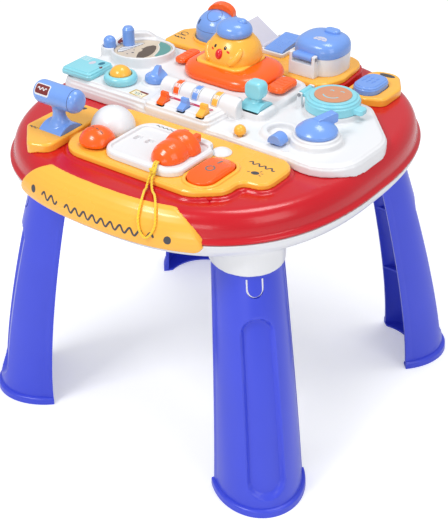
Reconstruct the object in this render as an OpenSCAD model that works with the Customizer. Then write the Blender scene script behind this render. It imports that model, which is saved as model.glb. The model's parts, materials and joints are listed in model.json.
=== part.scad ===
// Musical activity table: a domed tray on a leg-socket pan, four splayed legs,
// and a deck of play stations. Millimetres, +Z up, origin on the floor under the
// middle of the table, -Y is the side with the front band.

/* [Table top] */
// Half length of the tray, left to right
tray_hx = 220; // [210:1:228]
// Half depth of the tray, front to back
tray_hy = 233; // [223:1:240]
// Squareness of the tray outline
tray_n = 2.52; // [2.4:0.02:3]
// Height of the seam where tray and pan meet
seam_z = 329; // [318:1:340]
// Rise of the flat deck above the seam
deck_rise = 32; // [28:1:36]
// Depth of the pan below the seam
pan_depth = 25; // [22:1:30]
// Wall of the large mouldings
wall = 2.5; // [2:0.1:3.5]

/* [Legs] */
// Distance of the outer leg face from the middle, at the floor
leg_reach = 292; // [284:1:300]
// How far the leg top stands in from the foot
leg_splay = 65; // [50:1:72]
// Half width of the leg at the floor
leg_half = 51; // [46:1:54]
// Half width of the leg where it enters the socket
leg_top_half = 39; // [34:1:43]
// Depth of the leg section at the floor
leg_deep = 64; // [58:1:68]
// Depth of the leg section in the socket
leg_top_deep = 42; // [38:1:46]
// Height of the socket mouth
socket_z = 281; // [276:1:288]
// Wall of a leg
leg_wall = 3; // [2.5:0.1:4]
// Height of the foot lip
foot_h = 9; // [6:1:14]
// Width of the long groove in a leg
groove_w = 34; // [26:1:38]
// Depth of the long groove in a leg
groove_d = 7; // [4:0.5:9]

/* [Console] */
// Height of the left and rear console deck above the tray deck
left_rise = 20; // [18:0.5:24]
// Height of the mixer block above the tray deck
mixer_rise = 24; // [22:0.5:28]
// Height of the right console deck above the tray deck
right_rise = 14; // [12:0.5:17]
// Radius of the roller cover
roller_r = 13; // [12:0.5:14]
// Radius of a number wheel
wheel_r = 12.4; // [11:0.1:12.6]
// Radius of the turntable disc
disc_r = 35.5; // [32:0.5:36]
// Lean of the turntable towards the rear left corner, in degrees
disc_lean = 5; // [2:1:8]
// Radius of the stove knob
stove_r = 23.3; // [20:0.1:25]
// Radius of the hinged pan lid
pan_r = 32; // [29:0.5:33]

/* [Stations on the tray] */
// Thickness of the front pad above its plateau
front_pad_h = 7; // [5:0.5:9]
// Height of the red plateau under the front pad
plateau_h = 3; // [2:0.5:5]
// Height of the red plinths under the rear pads
plinth_h = 11; // [8:0.5:13]
// Thickness of a rear pad
rear_pad_h = 6; // [4:0.5:8]
// Height of the side pads above the deck
side_pad_h = 10; // [8:0.5:12]
// Radius of the lamp globe
globe_r = 25.5; // [22:0.5:27]
// Radius of the toggle barrel
barrel_r = 13.5; // [11:0.5:14]
// Length of the toggle barrel, end to end
barrel_len = 64; // [54:1:68]
// Radius of the cooker body
cooker_r = 31.5; // [30:0.5:34]
// Radius of the kettle body
kettle_r = 29; // [26:0.5:30]

/* [Fits] */
// Radial running clearance of pins, stems and axles
run = 0.05; // [0.02:0.01:0.09]
// Gap between a moving cap and its well
gap = 0.5; // [0.4:0.1:0.8]
// Gap between a piece and the seat that it rests over
seat = 0.3; // [0.2:0.05:0.4]
// Radius of a hinge pin
pin_r = 2; // [1.6:0.1:2.4]
// Radius of a push stem
stem_r = 3; // [2.5:0.1:3.5]
// Travel of a push button
travel = 2.5; // [1.5:0.5:3]

/* [Hidden] */
$fn = 48;
eps = 0.01;

// Heights that follow from the driving sizes
deck_z = seam_z + deck_rise;
pan_z = seam_z - pan_depth;
left_z = deck_z + left_rise;
mixer_z = deck_z + mixer_rise;
right_z = deck_z + right_rise;
front_base_z = deck_z + plateau_h;
front_z = front_base_z + front_pad_h;
side_z = deck_z + side_pad_h;
plinth_z = deck_z + plinth_h;
rear_z = plinth_z + rear_pad_h;
board_z = pan_z + 12;
board_t = 1.6;
contact_h = 1.2;
stem_end_z = board_z + board_t + contact_h + travel + 0.8;
ring_n = 52;

// The stations are drawn about a point of their own; middle() moves them to the origin
station_at = [13.47, -13.4];
tray_off = [-19, 15];
leg_top_off = [-17, 16];
leg_foot_off = [-11, 21];
module middle() translate([station_at[0], station_at[1], 0]) children();

// Colours of the mouldings
red = "crimson";
white = "whitesmoke";
yellow = [1, 0.74, 0.3];
orange = [1, 0.4, 0.05];
sky = [0.5, 0.66, 0.94];
aqua = [0.58, 0.84, 0.9];
leg_blue = [0.27, 0.33, 0.88];

// ---------------------------------------------------------------- outlines

function signed_pow(v, p) = sign(v) * pow(abs(v), p);

// Superellipse ring with half sizes hx and hy
function oval(hx, hy, n, count) = [for (i = [0 : count - 1])
    let (a = 360 * i / count)
    [hx * signed_pow(cos(a), 2 / n), hy * signed_pow(sin(a), 2 / n)]];

// Ring of 3D points on the tray outline, drawn in by inset
function tray_ring(inset, z) = [for (p = oval(tray_hx - inset, tray_hy - inset, tray_n, ring_n))
    [p[0] + tray_off[0], p[1] + tray_off[1], z]];

function unit(v) = v / norm(v);
function turn(a, b, c) = (b[0] - a[0]) * (c[1] - b[1]) - (b[1] - a[1]) * (c[0] - b[0]);
function swept(a) = a > 180 ? a - 360 : a < -180 ? a + 360 : a;

// Arc that replaces the corner b, of radius b[2], between its neighbours a and c
function corner(a, b, c, steps) =
    let (p = [b[0], b[1]],
        u = unit([a[0], a[1]] - p),
        v = unit([c[0], c[1]] - p),
        half = acos(max(-1, min(1, u * v))) / 2,
        m = p + unit(u + v) * b[2] / sin(half),
        s = p + u * b[2] / tan(half) - m,
        e = p + v * b[2] / tan(half) - m,
        a0 = atan2(s[1], s[0]),
        da = swept(atan2(e[1], e[0]) - a0))
    [for (i = [0 : steps]) m + b[2] * [cos(a0 + da * i / steps), sin(a0 + da * i / steps)]];

// Outline with rounded corners from a counterclockwise list of [x, y, radius]
function rounded(c, steps = 6) = let (n = len(c))
    [for (i = [0 : n - 1]) each corner(c[(i + n - 1) % n], c[i], c[(i + 1) % n], steps)];

// The same list drawn in by d, with each radius kept concentric
function inset(c, d) = let (n = len(c))
    [for (i = [0 : n - 1])
        let (a = c[(i + n - 1) % n], b = c[i], e = c[(i + 1) % n],
            p = [b[0], b[1]],
            u = unit([a[0], a[1]] - p),
            v = unit([e[0], e[1]] - p),
            s = sign(turn(a, b, e)),
            half = acos(max(-1, min(1, u * v))) / 2,
            q = p + unit(u + v) * s * d / sin(half))
        [q[0], q[1], max(0.3, b[2] - s * d)]];

function box_list(x0, x1, y0, y1, r) = [[x0, y0, r], [x1, y0, r], [x1, y1, r], [x0, y1, r]];
function box_at(cx, cy, w, d, r) = box_list(cx - w / 2, cx + w / 2, cy - d / 2, cy + d / 2, r);

module plate(list, z0, z1, steps = 6)
    translate([0, 0, z0]) linear_extrude(z1 - z0) polygon(rounded(list, steps));

// Plate whose top edge is stepped in twice, as a moulded rounding
module soft_plate(list, z0, z1, r) {
    plate(list, z0, z1 - r);
    plate(inset(list, r * 0.3), z0, z1 - r * 0.4);
    plate(inset(list, r), z0, z1);
}

// Closed skin over a stack of rings that all have the same count of points
module loft(rings) {
    n = len(rings[0]);
    m = len(rings);
    side = [for (j = [0 : m - 2]) for (i = [0 : n - 1]) let (k = (i + 1) % n)
        each [[j * n + i, (j + 1) * n + i, (j + 1) * n + k],
            [j * n + i, (j + 1) * n + k, j * n + k]]];
    first = [[for (i = [0 : n - 1]) i]];
    last = [[for (i = [n - 1 : -1 : 0]) (m - 1) * n + i]];
    polyhedron([for (r = rings) each r], concat(first, side, last), convexity = 8);
}

// Cylinder along X or Y, centred on p
module rod_x(p, r, l) translate(p) rotate([0, 90, 0]) cylinder(r = r, h = l, center = true);
module rod_y(p, r, l) translate(p) rotate([90, 0, 0]) cylinder(r = r, h = l, center = true);

// Domed button: straight skirt up to z1, then a cap of height h
module dome(p, r, z0, z1, h) {
    big = (r * r + h * h) / (2 * h);
    translate([p[0], p[1], 0]) {
        translate([0, 0, z0]) cylinder(r = r, h = z1 - z0);
        intersection() {
            translate([0, 0, z1 + h - big]) sphere(r = big, $fn = 64);
            translate([0, 0, z1 - eps]) cylinder(r = r, h = h + 1);
        }
    }
}

module stem(p, z0, z1) translate([p[0], p[1], z0]) cylinder(r = stem_r, h = z1 - z0);
module stem_bore(p, z0, z1) translate([p[0], p[1], z0]) cylinder(r = stem_r + run, h = z1 - z0);

// ---------------------------------------------------------------- table top

// Inset and rise of the tray lip, from the seam up to the flat deck
lip = concat([[0, 0], [0.5, 0.09], [2.5, 0.14], [4.5, 0.165]],
    [for (i = [1 : 8]) let (a = 90 * i / 8) [5 + 18 * (1 - pow(cos(a), 0.91)),
        0.18 + 0.82 * pow(sin(a), 0.91)]]);
// Inset and depth of the pan side, from the seam down to its floor
bowl = [[0, 0], [1.5, 0.14], [4, 0.42], [9, 0.7], [17, 0.92], [30, 1]];

module tray_body() loft([for (s = lip) tray_ring(s[0], seam_z + s[1] * deck_rise)]);
module pan_body() loft([for (i = [len(bowl) - 1 : -1 : 0])
    tray_ring(bowl[i][0], seam_z - bowl[i][1] * pan_depth)]);

front_list = [[-105, -169, 32], [76, -169, 30], [106, -143, 20], [107, -117, 11],
    [135, -112, 16], [135, -51, 22], [-105, -51, 16]];
toggle_list = [[-166, -150, 8], [-133, -186, 10], [-109, -176, 14], [-112, -73, 16],
    [-164, -73, 16]];
right_list = [[77, 138, 14], [107, 129, 16], [131, 139, 12], [131, 180, 24], [110, 213, 18],
    [75, 207, 18]];
rear_list = [[-86, 117, 8], [58, 117, 16], [69, 150, 24], [63, 212, 26], [-86, 212, 26]];
kettle_list = [[-181, 117, 8], [-92, 117, 12], [-92, 196, 34], [-150, 196, 34], [-181, 160, 14]];
kettle_at = [-126, 163];

console_window = box_list(-196, 160, -30, 96, 17);
front_window = box_list(-98, 96, -158, -70, 14);
rear_window = box_list(-58, 48, 136, 194, 10);
toggle_at = [-130, -134];
right_button_at = [100, 160];
right_stem_at = [93, 147];

module tray() middle() color(red) difference() {
    union() {
        tray_shell();
        difference() {
            plate(inset(front_list, -4), deck_z - 2, front_base_z);
            plate(inset(console_list, -1.2), deck_z, front_base_z + 1);
        }
        for (list = [rear_list, kettle_list]) intersection() {
            plate(inset(list, -3), deck_z - 8, plinth_z);
            loft([tray_ring(3, deck_z - 9), tray_ring(3, plinth_z + 1)]);
        }
        for (p = screw_spots) translate([p[0], p[1], pan_z + 14])
            cylinder(r = 5, h = deck_z - pan_z - 15);
    }
    plate(console_window, pan_z, deck_z + 1);
    plate(front_window, pan_z, front_base_z + 1);
    plate(rear_window, pan_z, plinth_z + 1);
    plate(box_at(toggle_at[0], toggle_at[1], 42, 60, 3), pan_z, deck_z + 1);
    for (p = concat([right_stem_at, pillar_at, ball_at, half_round_at], [for (x = tab_x) [x, tab_y]]))
        stem_bore(p, pan_z, deck_z + 1);
    for (p = screw_spots) translate([p[0], p[1], pan_z + 10])
        cylinder(r = screw_r, h = 18);
}

module tray_shell() loft([for (i = [len(lip) - 1 : -2 : 3])
        tray_ring(lip[i][0] + wall, seam_z + lip[i][1] * deck_rise - wall),
    tray_ring(4.5 + wall, seam_z), for (s = lip) tray_ring(s[0], seam_z + s[1] * deck_rise)]);

// Screws hold the pan up against the tray
screw_r = 1.6;
screw_spots = [[-165, -70], [140, -75], [165, 66], [-60, -178], [50, -178], [-20, 201],
    [-190, 104]];

// Speaker, battery bay and vents in the pan floor
speaker_at = [40, 26];
speaker_r = 28;
bay_at = [-70, 20];
bay_w = 66;
bay_d = 64;

// Diagonal placing of what is on a leg: angle of the corner
leg_angles = [225, 315, 135, 45];
leg_in_top = leg_reach - leg_splay - leg_top_deep;

// D section of a leg as [radial, across] points: chord at r, depth deep, half width half
function d_arc(r, deep, half, steps) = [for (i = [0 : steps])
    let (a = -90 + 180 * i / steps) [r + deep * cos(a), half * sin(a)]];

module d_plate(r, deep, half, z0, z1, steps = 28)
    translate([0, 0, z0]) linear_extrude(z1 - z0) polygon(d_arc(r, deep, half, steps));

socket_wall = 3.2;
socket_top = seam_z - 9;

module base_pan() middle() color(white) difference() {
    union() {
        loft([for (i = [len(bowl) - 1 : -1 : 0])
            tray_ring(bowl[i][0], seam_z - bowl[i][1] * pan_depth),
            tray_ring(3, seam_z), tray_ring(6.5, seam_z - 10), tray_ring(13, seam_z - 17),
            tray_ring(30, pan_z + wall)]);
        for (a = leg_angles) translate(leg_top_off) rotate(a)
            d_plate(leg_in_top - socket_wall, leg_top_deep + 2 * socket_wall,
                leg_top_half + socket_wall, socket_z, socket_top + wall);
        for (p = screw_spots) translate([p[0], p[1], pan_z + 1])
            cylinder(r = 5, h = 12.9);
        battery_bay();
        translate([speaker_at[0], speaker_at[1], pan_z + 1]) difference() {
            cylinder(r = speaker_r + 4, h = 8);
            translate([0, 0, -1]) cylinder(r = speaker_r + seat, h = 12);
        }
        board_posts();
    }
    for (a = leg_angles) leg_prism(a, socket_z, socket_top, -run, run);
    for (a = leg_angles) translate([0, 0, -1]) leg_prism(a, socket_z, socket_z + 2, -run, run);
    for (p = screw_spots) translate([p[0], p[1], pan_z - 1]) {
        cylinder(r = screw_r + 0.4, h = 20);
        cylinder(r = 4, h = 8);
    }
    translate([bay_at[0], bay_at[1], pan_z - 1]) linear_extrude(wall + 2)
        square([bay_w - 8, bay_d - 8], center = true);
    for (i = [-3 : 3]) for (j = [-3 : 3]) if (i * i + j * j < 11)
        translate([speaker_at[0] + 7 * i, speaker_at[1] + 7 * j, pan_z - 1])
            cylinder(r = 1.8, h = wall + 2, $fn = 16);
}

module battery_bay() translate([bay_at[0], bay_at[1], pan_z + 1]) difference() {
    linear_extrude(20) square([bay_w, bay_d], center = true);
    translate([0, 0, -1]) linear_extrude(19) square([bay_w - 5, bay_d - 5], center = true);
}

// Posts that carry the three circuit boards
board_spots = [[-190, -38], [-110, -42], [118, -42], [118, 60], [-206, 62], [-84, -144], [70, -144],
    [-84, -98], [70, -98], [-64, 136], [-64, 180], [94, 136], [70, 180]];
module board_posts() for (p = board_spots)
    translate([p[0], p[1], pan_z + 1]) cylinder(r = 3, h = board_z - pan_z - 1);

// Bumper that wraps the front of the rim: [inset, height over the seam]
band_profile = [[8, -11], [2, -10.5], [-1.6, -8], [-3, -4], [-3.2, 3], [-2, 9], [0.5, 15],
    [4, 21], [8.5, 26.7], [14, 31.2], [21, 33.8], [30, 34.6], [40, 34.6]];
band_cover = 19.6;
band_round = 57.7;
band_ends = [59, -76];

// Front view of the band, its height counted from the seam
band_face = concat([[-111, -12], [97, -12], [104.5, -9.5], [109, -6]],
    [for (e = [0, 1]) for (i = [0 : 12]) let (a = 23 + 67 * e + 67 * i / 12)
        [band_ends[e] + band_round * cos(a), 34 - band_round + band_round * sin(a)]],
    [[-126.5, -6], [-121, -9.5]]);

module front_band() middle() color(yellow) difference() {
    intersection() {
        loft([for (s = band_profile) tray_ring(s[0], seam_z + s[1])]);
        translate([0, tray_off[1] - tray_hy + 68, seam_z]) rotate([90, 0, 0]) linear_extrude(100)
            polygon(band_face);
    }
    loft([tray_ring(band_cover, seam_z), tray_ring(band_cover, seam_z + 60)]);
    tray_body();
    pan_body();
}

// ---------------------------------------------------------------- legs

leg_levels = [0, 14, 24, 28, 32, 37, 43, 54, 80, 115, 150, 185, 205, 215, 222, 227, 231, 235, 258,
    socket_z];
leg_spread = [0, 5, 10, 14, 17, 20, 23, 26, 31, 39, 50, 63, 77, 90];
groove_z0 = 42;
groove_z1 = 216;

function leg_t(z) = pow(max(0, z) / socket_z, 1.35);
function leg_out(z) = leg_reach - leg_splay * leg_t(z);
function leg_half_at(z) = leg_half + (leg_top_half - leg_half) * z / socket_z;
function leg_deep_at(z) = leg_deep + (leg_top_deep - leg_deep) * z / socket_z;
function groove_at(y, z) = let (c = max(groove_z0, min(groove_z1, z)),
    w = groove_w / 2 + 3 * (groove_z1 - c) / (groove_z1 - groove_z0),
    d = norm([y, z - c])) groove_d * max(0, min(1, (w + 2 - d) / 5));
function leg_off(z) = leg_foot_off + (leg_top_off - leg_foot_off) * min(1, z / socket_z);

// D section at height z on the corner of angle a, drawn in by t, chord moved out by open
function leg_section(z, t, open) =
    let (deep = leg_deep_at(z), half = leg_half_at(z) - t, r = leg_out(z) - deep,
        angles = [for (i = [len(leg_spread) - 1 : -1 : 1]) -leg_spread[i], each leg_spread])
    concat([[r - open, -half]], [for (b = angles) let (y = half * sin(b))
        [r + (deep - t) * cos(b) - (abs(b) < 50 ? groove_at(y, z) : 0), y]], [[r - open, half]]);
function leg_ring(a, z, t, open) = [for (p = leg_section(z, t, open))
    [p[0] * cos(a) - p[1] * sin(a) + leg_off(z)[0], p[0] * sin(a) + p[1] * cos(a) + leg_off(z)[1],
        z]];

module leg_prism(a, z0, z1, t, open) translate([leg_off(z0)[0], leg_off(z0)[1], z0]) rotate(a)
    linear_extrude(z1 - z0) polygon(leg_section(z0, t, open));

// Level web with a hollowed inner edge
module leg_web(a, z) difference() {
    leg_prism(a, z, z + 2.5, leg_wall / 2, -1);
    translate([leg_off(z)[0], leg_off(z)[1], z - 1]) rotate(a)
        translate([leg_out(z) - leg_deep_at(z) - 30, 0]) cylinder(r = 52, h = 5, $fn = 64);
}

module leg(a) middle() color(leg_blue) {
    difference() {
        union() {
            loft([for (z = leg_levels) leg_ring(a, z, 0, 0)]);
            leg_prism(a, socket_z, socket_top - seat, 0, 0);
            translate([leg_off(0)[0], leg_off(0)[1], 0]) rotate(a) linear_extrude(foot_h)
                polygon(d_arc(leg_reach - leg_deep, leg_deep + 4, leg_half + 4, 28));
        }
        loft(concat([leg_ring(a, -1, leg_wall, 6)],
            [for (z = leg_levels) leg_ring(a, z, leg_wall, 6)],
            [leg_ring(a, socket_top + 2, leg_wall, 6)]));
        latch_slot(a);
    }
    for (z = [0, 96, 190]) leg_web(a, z);
}

// U-shaped slot that frees the snap tongue under the socket
module latch_slot(a) translate([leg_off(latch_z)[0], leg_off(latch_z)[1], latch_z]) rotate(a)
    translate([leg_out(latch_z) - 12, 0, 0]) rotate([90, 0, 90]) linear_extrude(30) difference() {
        union() {
            circle(r = 9.5);
            translate([-9.5, 0]) square([19, 11]);
        }
        circle(r = 7.5);
        translate([-7.5, 0]) square([15, 20]);
    }
latch_z = 266;

module leg_front_left() leg(leg_angles[0]);
module leg_front_right() leg(leg_angles[1]);
module leg_rear_left() leg(leg_angles[2]);
module leg_rear_right() leg(leg_angles[3]);

// ---------------------------------------------------------------- console

console_list = [[-216, -46, 26], [-102, -46, 50], [-80, -49, 50], [8, -49, 40], [28, -47.4, 40],
    [120, -50, 200], [188, -60, 46], [190, 47, 44], [130, 114, 26], [-190, 112, 30],
    [-216, 80, 20]];
left_list = [[-214, -45, 24], [-60, -45, 6], [-60, 108, 6], [-188, 108, 26], [-212, 76, 18]];
mixer_list = [[-83, -48.5, 9], [12, -48.5, 9], [18, 20, 10], [18, 107, 6], [-80, 107, 6]];
right_top_list = [[-20, -43, 6], [118, -43, 60], [175, -48, 38], [179, 42, 36],
    [124, 107, 24], [-20, 107, 6]];
pedestal_list = box_list(-132, 52, 14, 108, 20);
gear_at = [34, 15];
gear_w = 40;
gear_d = 35;
disc_at = [-163, 56, left_z + 9];
drum_r = disc_r + 4;
pillar_at = [-203, 40];
knob_at = [-101, 4];
dome_at = [-138.5, -17];
cassette_list = box_list(-213, -167, -41, 6, 6);
stove_at = [127, -4];
stove_ped_r = 29;
ring_at = [85, -10];
ring_r = 24;
pan_at = [102, 70];
pan_hinge_x = 65;
pan_top_z = right_z + 6;
pan_axis_z = pan_top_z + 10;
roller_y = -3;
roller_x0 = -81;
roller_x1 = 27;
wheel_x = [-58, -31, -3];
wheel_w = 9;
tab_x = [-59, -30, -3];
tab_y = -37;
ball_at = [48.5, -37];
half_round_at = [96, -33];
side_left_at = [-107, 73];
side_right_at = [33, 68];
dish_list = box_list(-96, 18, 30, 120, 34);
dish_z = left_z + 3;
figure_at = [-44.5, 82.5];
skirt_list = box_list(-80, -13, 47, 110, 12);
gear_axis_z = right_z - 3;
gear_r = 20;

module lean(p) translate(p) rotate([0, 0, 45]) rotate([-disc_lean, 0, 0]) children();

module console_panel() middle() color(white) difference() {
    union() {
        difference() {
            soft_plate(console_list, deck_z - 8, right_z, 5);
            tray_body();
        }
        soft_plate(left_list, deck_z + 5, left_z, 7);
        soft_plate(mixer_list, deck_z + 5, mixer_z, 7);
        soft_plate(pedestal_list, deck_z + 5, dish_z, 4);
        soft_plate(box_at(gear_at[0] - 2, gear_at[1], gear_w + 4, gear_d, 9), deck_z + 5, right_z + 11, 3);
        rod_x([(roller_x0 + roller_x1) / 2, roller_y, mixer_z], roller_r, roller_x1 - roller_x0);
        lean(disc_at) translate([0, 0, -14]) cylinder(r = drum_r, h = 15.5);
        translate([pillar_at[0], pillar_at[1], left_z - 5]) cylinder(r = 11.5, h = 15);
        translate([knob_at[0], knob_at[1], left_z - 5]) cylinder(r = 17, h = 8);
        translate([stove_at[0], stove_at[1], right_z - 5]) {
            cylinder(r = stove_ped_r, h = 12);
            cylinder(r = stove_ped_r - 3, h = 16);
        }
        translate([ring_at[0], ring_at[1], right_z]) rotate_extrude($fn = 64)
            translate([ring_r - 6, 0]) circle(r = 6);
        translate([pan_at[0], pan_at[1], right_z - 5])
            cylinder(r = pan_r + 1, h = pan_top_z - right_z + 5, $fn = 64);
        wave_wall();
        pan_posts();
    }
    console_hollow();
    console_bores();
}

// Low wall with a wavy top that stands behind the turntable
module wave_wall() intersection() {
    translate([disc_at[0], disc_at[1], deck_z + 5]) difference() {
        cylinder(r = drum_r + 10, h = 60);
        translate([0, 0, -1]) cylinder(r = drum_r, h = 62);
    }
    translate([disc_at[0], disc_at[1], left_z - 4]) rotate([90, 0, 45]) translate([0, 0, -60])
        linear_extrude(60) polygon(rounded([[-44, 0, 1], [36, 0, 1], [31, 9, 5], [21, 12, 7],
            [12, 18, 7], [-12, 19, 8], [-30, 12, 8]]));
}

// Two posts that hold the lid's hinge pin
module pan_posts() for (y = [-14, 11]) translate([pan_hinge_x - 3.5, pan_at[1] + y, right_z - 3])
    linear_extrude(pan_axis_z - right_z + 6) square([7, 4]);

// Space under the console skin, and the wells of its moving pieces
module console_hollow() {
    plate(inset(console_list, 5), deck_z - 1, right_z - wall);
    for (s = [[left_list, left_z], [mixer_list, mixer_z]]) {
        plate(inset(s[0], 6), deck_z - 1, s[1] - wall - 3);
        plate(inset(s[0], 9.6), deck_z - 1, s[1] - wall);
    }
}

module console_bores() {
    for (x = wheel_x) {
        rod_x([x, roller_y, mixer_z], wheel_r + 0.4, wheel_w + 1);
        translate([x - wheel_w / 2 - 0.5, roller_y - roller_r - 1, mixer_z + 2])
            cube([wheel_w + 1, roller_r + 9, roller_r]);
    }
    rod_x([-24, roller_y, mixer_z], pin_r, axle_len);
    for (x = wheel_x) translate([x - wheel_w / 2 - 0.5, roller_y - wheel_r - 0.4,
        mixer_z - wheel_r - 1]) cube([wheel_w + 1, 2 * wheel_r + 0.8, wheel_r + 1]);
    for (x = tab_x) translate([x - 4.5 - gap, tab_y - 7 - gap, left_z - 6])
        cube([9 + 2 * gap, 14 + 2 * gap, 20]);
    lean(disc_at) {
        translate([0, 0, -3 - seat]) cylinder(r = disc_r + gap, h = 8);
        translate([0, 0, -30]) cylinder(r = 4 + run, h = 40);
        translate([0, 0, -34]) cylinder(r = drum_r - 4, h = 26);
    }
    for (p = [pillar_at, dome_at]) stem_bore(p, deck_z - 1, mixer_z + 20);
    for (p = [side_left_at, side_right_at, ball_at, half_round_at])
        stem_bore(p, deck_z - 1, mixer_z + 20);
    translate([pillar_at[0], pillar_at[1], left_z + 4]) cylinder(r = 7.6 + gap, h = 10);
    translate([ball_at[0], ball_at[1], right_z - 1.8]) cylinder(r = 7 + gap, h = 5);
    translate([knob_at[0], knob_at[1], deck_z]) cylinder(r = 4 + run, h = 60);
    translate([stove_at[0], stove_at[1], deck_z]) cylinder(r = 5 + run, h = 60);
    translate([figure_at[0], figure_at[1], deck_z]) cylinder(r = 5 + run, h = 60);
    translate([ring_at[0], ring_at[1], right_z - 0.8]) cylinder(r = ring_r - 9, h = 9);
    gear_slot();
    translate([half_round_at[0] - 10, half_round_at[1] - 8.5, right_z]) cube([20, 17, 12]);
    plate(inset(dish_list, -seat), dish_z, dish_z + 30);
    translate([pan_hinge_x, pan_at[1], pan_axis_z]) rotate([90, 0, 0])
        cylinder(r = pin_r, h = 30, center = true);
    translate([pan_at[0], pan_at[1], right_z + 0.5]) cylinder(r = pan_r - 3, h = 30, $fn = 64);
}
axle_len = 82;

module gear_slot() {
    translate([gear_at[0] - 13 - gap, gear_at[1] - 16.5, gear_axis_z - 22])
        cube([26 + 2 * gap, 33, 60]);
    rod_x([gear_at[0], gear_at[1], gear_axis_z], pin_r, 34);
}

module cassette_block() middle() color(aqua) soft_plate(cassette_list, left_z, left_z + 9, 4.5);

module dome_collar() middle() color(aqua) translate([dome_at[0], dome_at[1], left_z])
    rotate_extrude($fn = 64) polygon([[13.5, 0], [19.4, 0], [19.2, 3], [18.2, 6], [16.6, 8.4],
        [14.6, 9.6], [13.5, 9]]);

module dome_button() middle() color(yellow) {
    dome(dome_at, 12.9, left_z + travel + 1, left_z + 11, 9);
    stem(dome_at, stem_end_z, left_z + travel + 2);
}

module pillar_button() middle() color(sky) {
    dome(pillar_at, 7.6, left_z + 4 + travel + 0.5, left_z + 16.5, 6);
    stem(pillar_at, stem_end_z, left_z + 4 + travel + 1);
}

module turntable_disc() middle() color([0.84, 0.78, 0.7]) lean(disc_at) difference() {
    union() {
        translate([0, 0, -3]) cylinder(r = disc_r, h = 3, $fn = 96);
        translate([0, 0, -16]) cylinder(r = 4, h = 14);
    }
    translate([handle_at[0], handle_at[1], -1]) cylinder(r = 4, h = 2);
}
handle_at = [-15.6, 21.4];
handle_h = 19.5;

module disc_handle() middle() color(sky) lean(disc_at)
    translate([handle_at[0], handle_at[1], 0]) {
    translate([0, 0, -1]) cylinder(r = 4, h = 2);
    cylinder(r = 7.5, h = handle_h);
    translate([0, 0, handle_h]) cylinder(r1 = 7.5, r2 = 5, h = 4);
}

module rotary_knob() middle() color(sky) {
    dome(knob_at, 13.6, left_z + 3 + seat, left_z + 7, 9);
    translate([knob_at[0], knob_at[1], deck_z + 4]) cylinder(r = 4, h = left_rise);
    translate([knob_at[0], knob_at[1], left_z + 8]) rotate(20) linear_extrude(10)
        polygon(rounded(box_at(0, 0, 7, 25, 3)));
}

module number_wheel(x, c) middle() color(c) difference() {
    rod_x([x, roller_y, mixer_z], wheel_r, wheel_w);
    rod_x([x, roller_y, mixer_z], pin_r + run, wheel_w + 2);
}
module number_wheel_1() number_wheel(wheel_x[0], orange);
module number_wheel_2() number_wheel(wheel_x[1], sky);
module number_wheel_3() number_wheel(wheel_x[2], yellow);

// Key with a ramp in front and an upright fin behind
module tab_key(x, c) middle() color(c) {
    translate([x - 4.5, tab_y, left_z - 3]) rotate([90, 0, 90]) linear_extrude(9)
        polygon([[-5, 0], [7, 0], [7, 13], [5.5, 14.5], [2.5, 14.5], [1, 13], [0, 10], [-5, 8.5]]);
    stem([x, tab_y], stem_end_z, left_z - 2);
}
module tab_key_1() tab_key(tab_x[0], orange);
module tab_key_2() tab_key(tab_x[1], sky);
module tab_key_3() tab_key(tab_x[2], yellow);

// Rocking saddle on a cross pin, with a stalk
module saddle(at, axis_z, r, w, spread, stalk_r, stalk_z) {
    translate([at[0] - w / 2, at[1], axis_z]) rotate([90, 0, 90]) linear_extrude(w)
        difference() {
            polygon(concat([[0, -5]], [for (i = [0 : 16])
                let (a = 90 - spread + 2 * spread * i / 16) [r * cos(a), r * sin(a)]]));
            circle(r = pin_r + run);
            for (s = [-1, 1]) polygon([for (i = [0 : 6]) let (a = 90 + s * (8 + (spread - 14) * i / 6))
                [(r - 3) * cos(a), (r - 3) * sin(a)], 9 * [cos(90 + s * 40), sin(90 + s * 40)]]);
        }
    translate([at[0], at[1], axis_z + r - 2]) cylinder(r = stalk_r, h = stalk_z - axis_z - r + 2);
}

module gear_lever() middle() color(aqua) {
    saddle(gear_at, gear_axis_z, gear_r, 26, 40, 4.6, right_z + 25);
    intersection() {
        soft_plate(box_at(gear_at[0], gear_at[1], 23, 16, 6), right_z + 20, right_z + 41, 4);
        rod_y([gear_at[0], gear_at[1], right_z + 30.5], 12, 20);
    }
}

module ball_button() middle() color(yellow) {
    intersection() {
        translate([ball_at[0], ball_at[1], right_z + 4]) sphere(r = 7);
        translate([ball_at[0] - 9, ball_at[1] - 9, right_z + 1.2]) cube(18);
    }
    stem(ball_at, stem_end_z, right_z + 1);
}

module half_round_key() middle() color(sky) {
    intersection() {
        rod_y([half_round_at[0], half_round_at[1], right_z + 4], 9, 15);
        translate([half_round_at[0] - 10, half_round_at[1] - 8, right_z + travel + 0.5])
            cube([20, 16, 14]);
    }
    stem(half_round_at, stem_end_z, right_z + travel + 1);
}

module stove_knob() middle() color(sky) {
    dome(stove_at, stove_r, right_z + 11 + seat, right_z + 15, 11);
    translate([stove_at[0], stove_at[1], deck_z + 3]) cylinder(r = 5, h = right_rise + 10);
    translate([stove_at[0], stove_at[1], right_z + 18]) rotate(-20) translate([-5, -2, 0])
        rotate([90, 0, 90]) linear_extrude(10) polygon(rounded([[0, 0, 1], [20, 0, 1],
            [28, 1, 2], [28, 13, 4], [0, 10, 3]]));
}

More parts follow.
